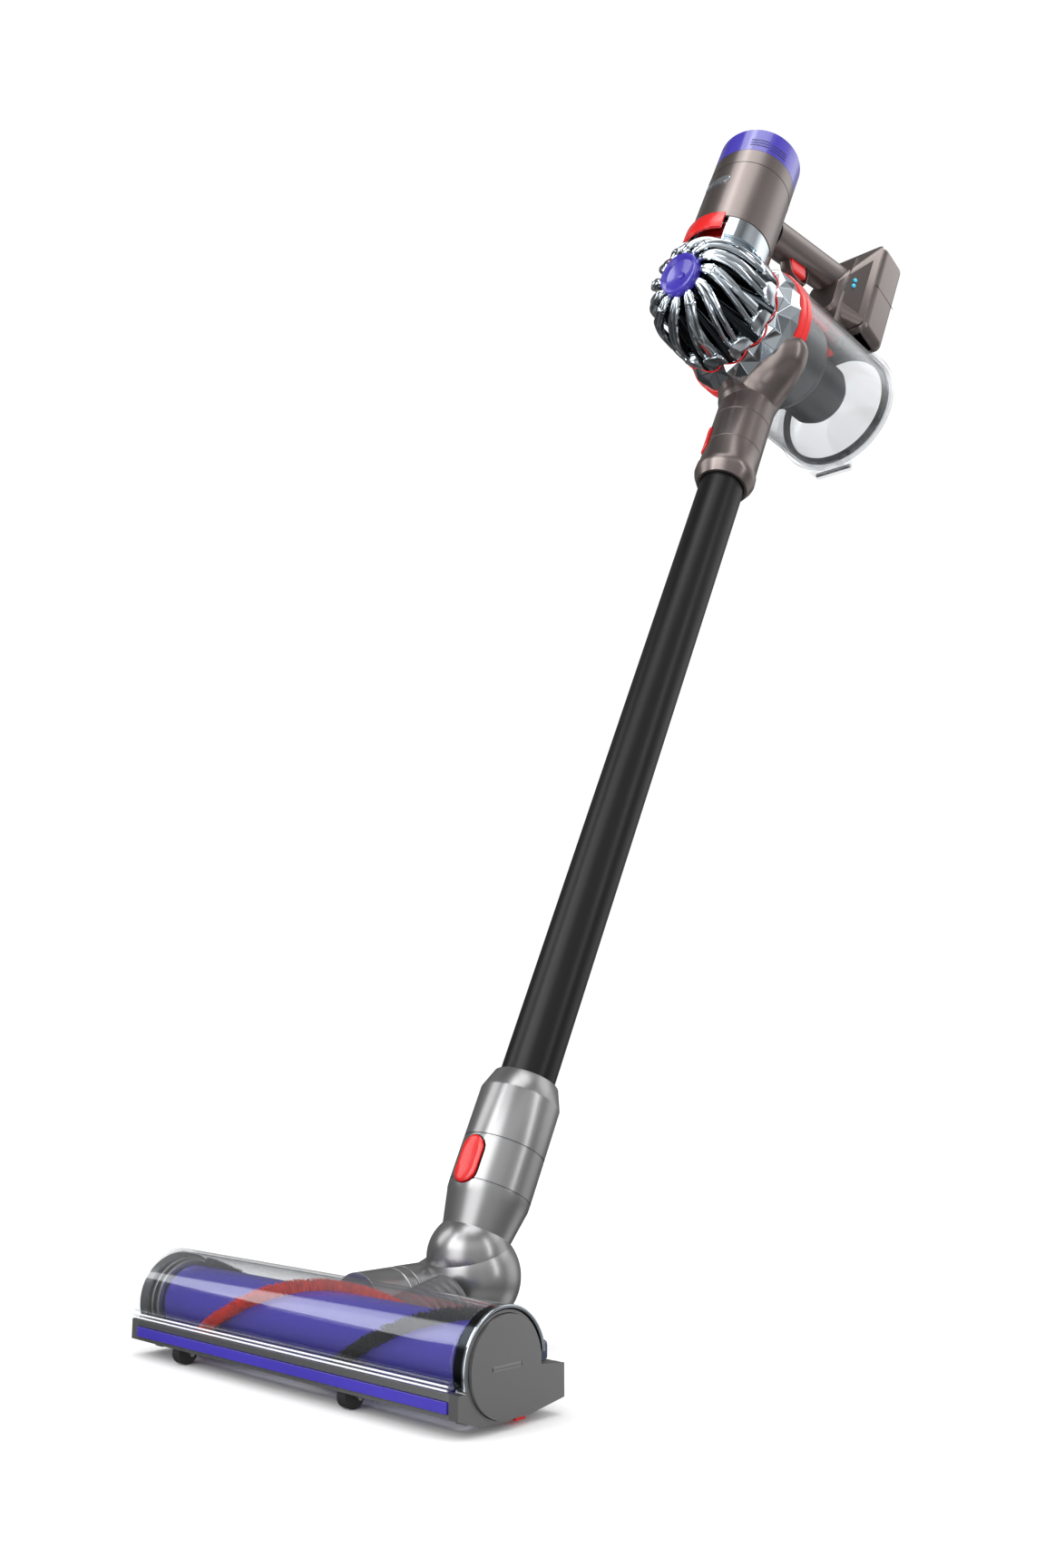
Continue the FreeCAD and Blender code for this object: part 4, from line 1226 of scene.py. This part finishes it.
@dataclass
class HandUnit:
    """The inlet, the motor shroud, the exhaust cap, the handle and the battery."""

    body: str = "hand_unit"

    def build(self) -> None:
        """Build every piece."""
        self.build_inlet()
        self.build_motor()
        self.build_bin()
        self.build_handle()

    def build_inlet(self) -> None:
        """Build the inlet collar, its bent duct and the release button."""
        profile = [(19.2, 653), (21.4, 653), (25.2, 660.5), (25.9, 663), (25.7, 668),
                   (24.6, 672), (24.3, 690), (24.0, 690.4), (24.0, 690.9), (24.3, 691.3),
                   (24.1, 722), (23.8, 722.4), (23.8, 722.9), (24.1, 723.3), (24.0, 752),
                   (19.2, 752)]
        angle = -90.0 - 38.0
        pocket = pad_on_tube(pill(6.6, 14.6), ((21.6, 1.0), (27.0, 1.0)), angle, 695,
                             AXES.wand)
        shell = with_pocket(lathe(profile, AXES.wand, 112), pocket)
        make_piece("inlet_collar_shell", shell, BRONZE, self.body, replaces=["inlet_collar"])
        duct = pipe([(0, 0, 748), (4, -1, 758), (14, -5, 768), (27, -9, 776), (37, -12, 784),
                     (42, -13, 792), (44, -13, 799)],
                    [24.0, 24.2, 24.2, 22.8, 20.0, 15.5, 4.0], AXES.wand, Vector((0, 1, 0)), 64)
        make_piece("duct_bent", duct, BRONZE, self.body, Edges.CRISP, ["inlet_duct"])
        wing = pipe([(0, 0, 742), (-3, -5, 756), (-6, -12, 768), (-6, -18, 776)],
                    [23.6, 23.0, 20.0, 14.0], AXES.wand, Vector((0, 1, 0)), 48)
        make_piece("duct_wing", wing, BRONZE, self.body)
        seat = pad_on_tube(pill(6.4, 14.4), ((21.3, 1.0), (21.9, 1.0)),
                           angle, 695, AXES.wand)
        make_piece("inlet_button_seat", seat, DARK, self.body)
        cap = pad_on_tube(pill(6.0, 14.0),
                          ((23.4, 1.0), (25.0, 1.0), (25.6, 0.94), (25.8, 0.84), (25.6, 0.5)),
                          angle, 695, AXES.wand)
        make_piece("inlet_button_red", cap, RED, "inlet_button", replaces=["inlet_button"])

    def build_motor(self) -> None:
        """Build the painted shade of the cap's vent slots, the dark ring under the cap, the blank plate and the
        chrome shell at the neck.
        """
        ring = lathe([(36.4, 932.4), (37.05, 932.4), (37.05, 932.9),
                                     (36.4, 932.9)], AXES.motor, 112)
        make_piece("shroud_ring", ring, DARK, self.body)
        slit = [(along, across) for across, along in pill(0.75, 8.5)]
        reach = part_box("filter_cap")[1].x / MM
        # Painted shade: each vent slot is a thin dark violet strip laid on the cap, not a cut.
        for group, (angle, level) in enumerate(((-50.0, 963.5), (-22.0, 961.5))):
            for line in range(3):
                slot_shade_strip = pad_on_tube(slit,
                                   ((reach - 0.6, 1.0), (reach + 0.12, 1.0)), angle,
                                   level - 3.4 * line, AXES.motor)
                make_piece(f"cap_vent_{group}_{line}", slot_shade_strip, PURPLE_PAINTED_SHADE, "filter_cap")
        plate = [(along, across) for across, along in pill(4.2, 13.5)]
        badge = pad_on_tube(plate,
                            ((36.0, 1.0), (37.5, 1.0), (37.9, 0.96)), -96.0, 911.0,
                            AXES.motor)
        make_piece("blank_badge", badge, BADGE, self.body, replaces=["badge"])
        shell = lathe([(33.4, 838), (36.3, 838), (36.3, 861), (33.4, 861)],
                      AXES.motor, 64, arc=(-55.5, 150.0))
        make_piece("neck_shell", shell, CHROME, self.body)

    def build_bin(self) -> None:
        """Build the red rail inside the top of the bin and the lid's clear lip."""
        rail = [(17.0, -52.0, level) for level in (116.0, 150.0, 196.0)]
        mesh = along_path(smooth_path(rail, 5), [(1.5, 2.6)] * 11, AXES.cyclone,
                          side=Vector((1, 0.3, 0)), segments=12)
        make_piece("bin_rail", mesh, RED, self.body)
        lip = lathe(rounded_profile([(56.6, 240), (60.4, 240), (60.9, 247),
                                                (57.9, 247)], 0.8), AXES.cyclone, 112)
        make_piece("bin_lip", lip, CLEAR, self.body)

    def build_handle(self) -> None:
        """Build the flared gusset, its two lights, the painted shade of the recess beside them, the battery's seam
        and the guard.
        """
        rings = []
        for n, half, low, high, corner in ((46.0, 15.5, 921.0, 962.0, 9.0),
                                           (52.0, 18.0, 918.0, 976.0, 8.0),
                                           (71.6, 36.0, 914.0, 1026.0, 6.0)):
            middle = (low + high) / 2
            tall = (high - low) / 2
            ring = []
            for side_x, side_s, first in ((1, 1, 0), (-1, 1, 90), (-1, -1, 180), (1, -1, 270)):
                for step in range(5):
                    turn = math.radians(first + 90 * step / 4)
                    ring.append(Vector((side_x * (half - corner) + corner * math.cos(turn), n,
                                        middle + side_s * (tall - corner)
                                        + corner * math.sin(turn))))
            rings.append(ring)
        make_piece("dock_flare", skinned(rings, AXES.wand), BRONZE, self.body, Edges.FINE)
        for index, height in enumerate((957.0, 964.5)):
            bm = bmesh.new()
            bmesh.ops.create_uvsphere(bm, u_segments=20, v_segments=12, radius=2.1)
            make_piece(f"light_{index}",
                       mesh_from(bm, AXES.wand @ shifted(x=24.4, y=58.0, z=height)), LIGHT_BLUE,
                       self.body, replaces=[] if index else ["status_lights"])
        # Painted shade: a thin dark bronze sheet on the gusset's right flank stands for the shade in the recess
        # beside the lights.
        corners = ((54, 934), (54, 971), (67, 1000), (67, 925))
        shade_sheet = skinned([[self.on_flank(n, height, lift) for n, height in corners]
                          for lift in (-0.6, 0.35)], AXES.wand)
        make_piece("painted_shade_by_lights", shade_sheet, BRONZE_SHADOW, self.body, Edges.FINE)
        seam = [Vector((36.95, n, 971.0)) for n in (74.0, 107.0)]
        make_piece("battery_seam", along_path(seam, [(0.28, 0.28)] * 2, AXES.wand, segments=10),
                   DARK, self.body)
        low, high = (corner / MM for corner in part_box("trigger"))
        guard = smooth_path([(0, low.y - 4, high.z + 6), (0, low.y + 2, low.z - 1),
                             (0, high.y - 2, low.z - 5), (0, high.y + 6, high.z - 1)], 6)
        strap = along_path(guard, [(1.3, 5.5)] * len(guard), Matrix.Identity(4), segments=14)
        make_piece("trigger_guard", strap, BRONZE, self.body)

    @staticmethod
    def on_flank(n: float, height: float, lift: float) -> Vector:
        """Return a point on the gusset's right flank, lifted off it."""
        return Vector((18.0 + (n - 52.0) * 0.918 + lift * 0.74, n - lift * 0.68, height))


# Studio ---------------------------------------------------------------------------------


@dataclass
class Studio:
    """Floor, lights, world and camera."""

    eye: Vector = field(default_factory=lambda: Vector((0.6704, -0.8593, 0.190)))
    heading: Vector = field(default_factory=lambda: Vector((-0.678, 0.7146, 0.172)))
    lens: float = 33.33

    def build(self) -> None:
        """Build the whole studio."""
        self.build_floor()
        self.build_world()
        self.build_lights()
        self.build_camera()

    def build_floor(self) -> None:
        """Lay the pale floor."""
        mesh = bpy.data.meshes.new("studio_floor")
        reach = 90.0
        mesh.from_pydata([(-reach, -reach, 0), (reach, -reach, 0), (reach, reach, 0),
                          (-reach, reach, 0)], [], [(0, 1, 2, 3)])
        floor = in_scene("studio_floor", mesh)
        mesh.materials.append(Finish("floor_paper", "", (0.965, 0.965, 0.965), roughness=0.8,
                                     mottle=0.004, grain=0.0, specular=0.0).material())
        floor.visible_glossy = False

    def build_world(self) -> None:
        """Light the room evenly, with bright strips and dark gaps where it is mirrored."""
        world = bpy.data.worlds.new("studio")
        bpy.context.scene.world = world
        world.use_nodes = True
        tree = world.node_tree
        plain = fill(tree, tree.nodes["Background"],
                     {"Color": (1.0, 1.0, 1.0, 1.0), "Strength": 1.05})
        place = add_node(tree, "ShaderNodeTexCoord").outputs["Generated"]
        parts = add_node(tree, "ShaderNodeSeparateXYZ", {0: place}).outputs
        heading = maths(tree, "ARCTAN2", parts[1], parts[0])
        strips = add_node(tree, "ShaderNodeValToRGB",
                          {"Fac": maths(tree, "MULTIPLY_ADD", heading, 1.0 / math.tau, 0.5)})
        strips.color_ramp.interpolation = "EASE"
        paint_ramp(strips, [((degrees + 180) / 360, (level,) * 3) for degrees, level in (
            (-180, 0.12), (-150, 0.10), (-112, 0.35), (-92, 2.4), (-72, 2.6), (-52, 0.55),
            (-25, 0.6), (10, 0.42), (40, 0.3), (58, 1.0), (76, 1.05), (96, 0.25),
            (140, 0.12), (180, 0.12))])
        layers = add_node(tree, "ShaderNodeValToRGB",
                          {"Fac": maths(tree, "MULTIPLY_ADD", parts[2], 0.5, 0.5)})
        paint_ramp(layers, [(level * 0.5 + 0.5, (bright,) * 3) for level, bright in (
            (-1.0, 0.5), (-0.75, 0.35), (-0.5, 0.9), (-0.32, 0.22), (-0.12, 0.8), (0.1, 1.0),
            (0.36, 0.9), (0.46, 1.5), (0.7, 1.5), (0.8, 0.4), (1.0, 1.3))])
        mirrored = add_node(tree, "ShaderNodeBackground", {
            "Color": strips.outputs["Color"], "Strength": layers.outputs["Color"]})
        rays = add_node(tree, "ShaderNodeLightPath").outputs
        through = maths(tree, "SUBTRACT", 1.0, rays["Is Transmission Ray"])
        factor = maths(tree, "MULTIPLY", rays["Is Glossy Ray"], through)
        mix = add_node(tree, "ShaderNodeMixShader",
                       {0: factor, 1: plain.outputs[0], 2: mirrored.outputs[0]})
        fill(tree, tree.nodes["World Output"], {"Surface": mix.outputs[0]})

    def build_lights(self) -> None:
        """Place the soft boxes."""
        boxes = (
            ("key_box", (-0.6, -2.4, 2.2), (0, 0.1, 0.55), 0.5, 2.2, 14.0),
            ("side_box", (2.6, 0.6, 1.4), (0, 0.1, 0.55), 0.4, 2.2, 10.0),
            ("streak_box", (-2.0, -1.45, 1.9), (0, -0.32, 0.05), 1.15, 1.8, 13.0),
            ("top_box", (0.3, 0.0, 3.0), (0, 0.0, 0.4), 1.6, 1.6, 16.0),
        )
        for name, place, target, width, height, power in boxes:
            light = bpy.data.lights.new(name, "AREA")
            light.shape = "RECTANGLE"
            light.size = width
            light.size_y = height
            light.energy = power
            lamp = in_scene(name, light)
            lamp.location = place
            lamp.rotation_euler = (Vector(target) - Vector(place)).to_track_quat(
                "-Z", "Y").to_euler()

    def build_camera(self) -> None:
        """Stand the camera low at the front right, tipped a little upwards."""
        lens = bpy.data.cameras.new("camera")
        lens.lens = self.lens
        lens.sensor_width = 36.0
        camera = in_scene("camera", lens)
        camera.location = self.eye
        camera.rotation_euler = self.heading.to_track_quat("-Z", "Y").to_euler()
        bpy.context.scene.camera = camera
        bpy.context.scene.view_settings.view_transform = "Standard"


def main() -> None:
    """Build the machine and its studio."""
    logging.basicConfig(level=logging.INFO, format="%(message)s")
    dress_frame()
    Studio().build()
    for part in (RollerHead(), Wand(), CyclonePack(), HandUnit()):
        part.build()


if __name__ == "__main__":
    main()
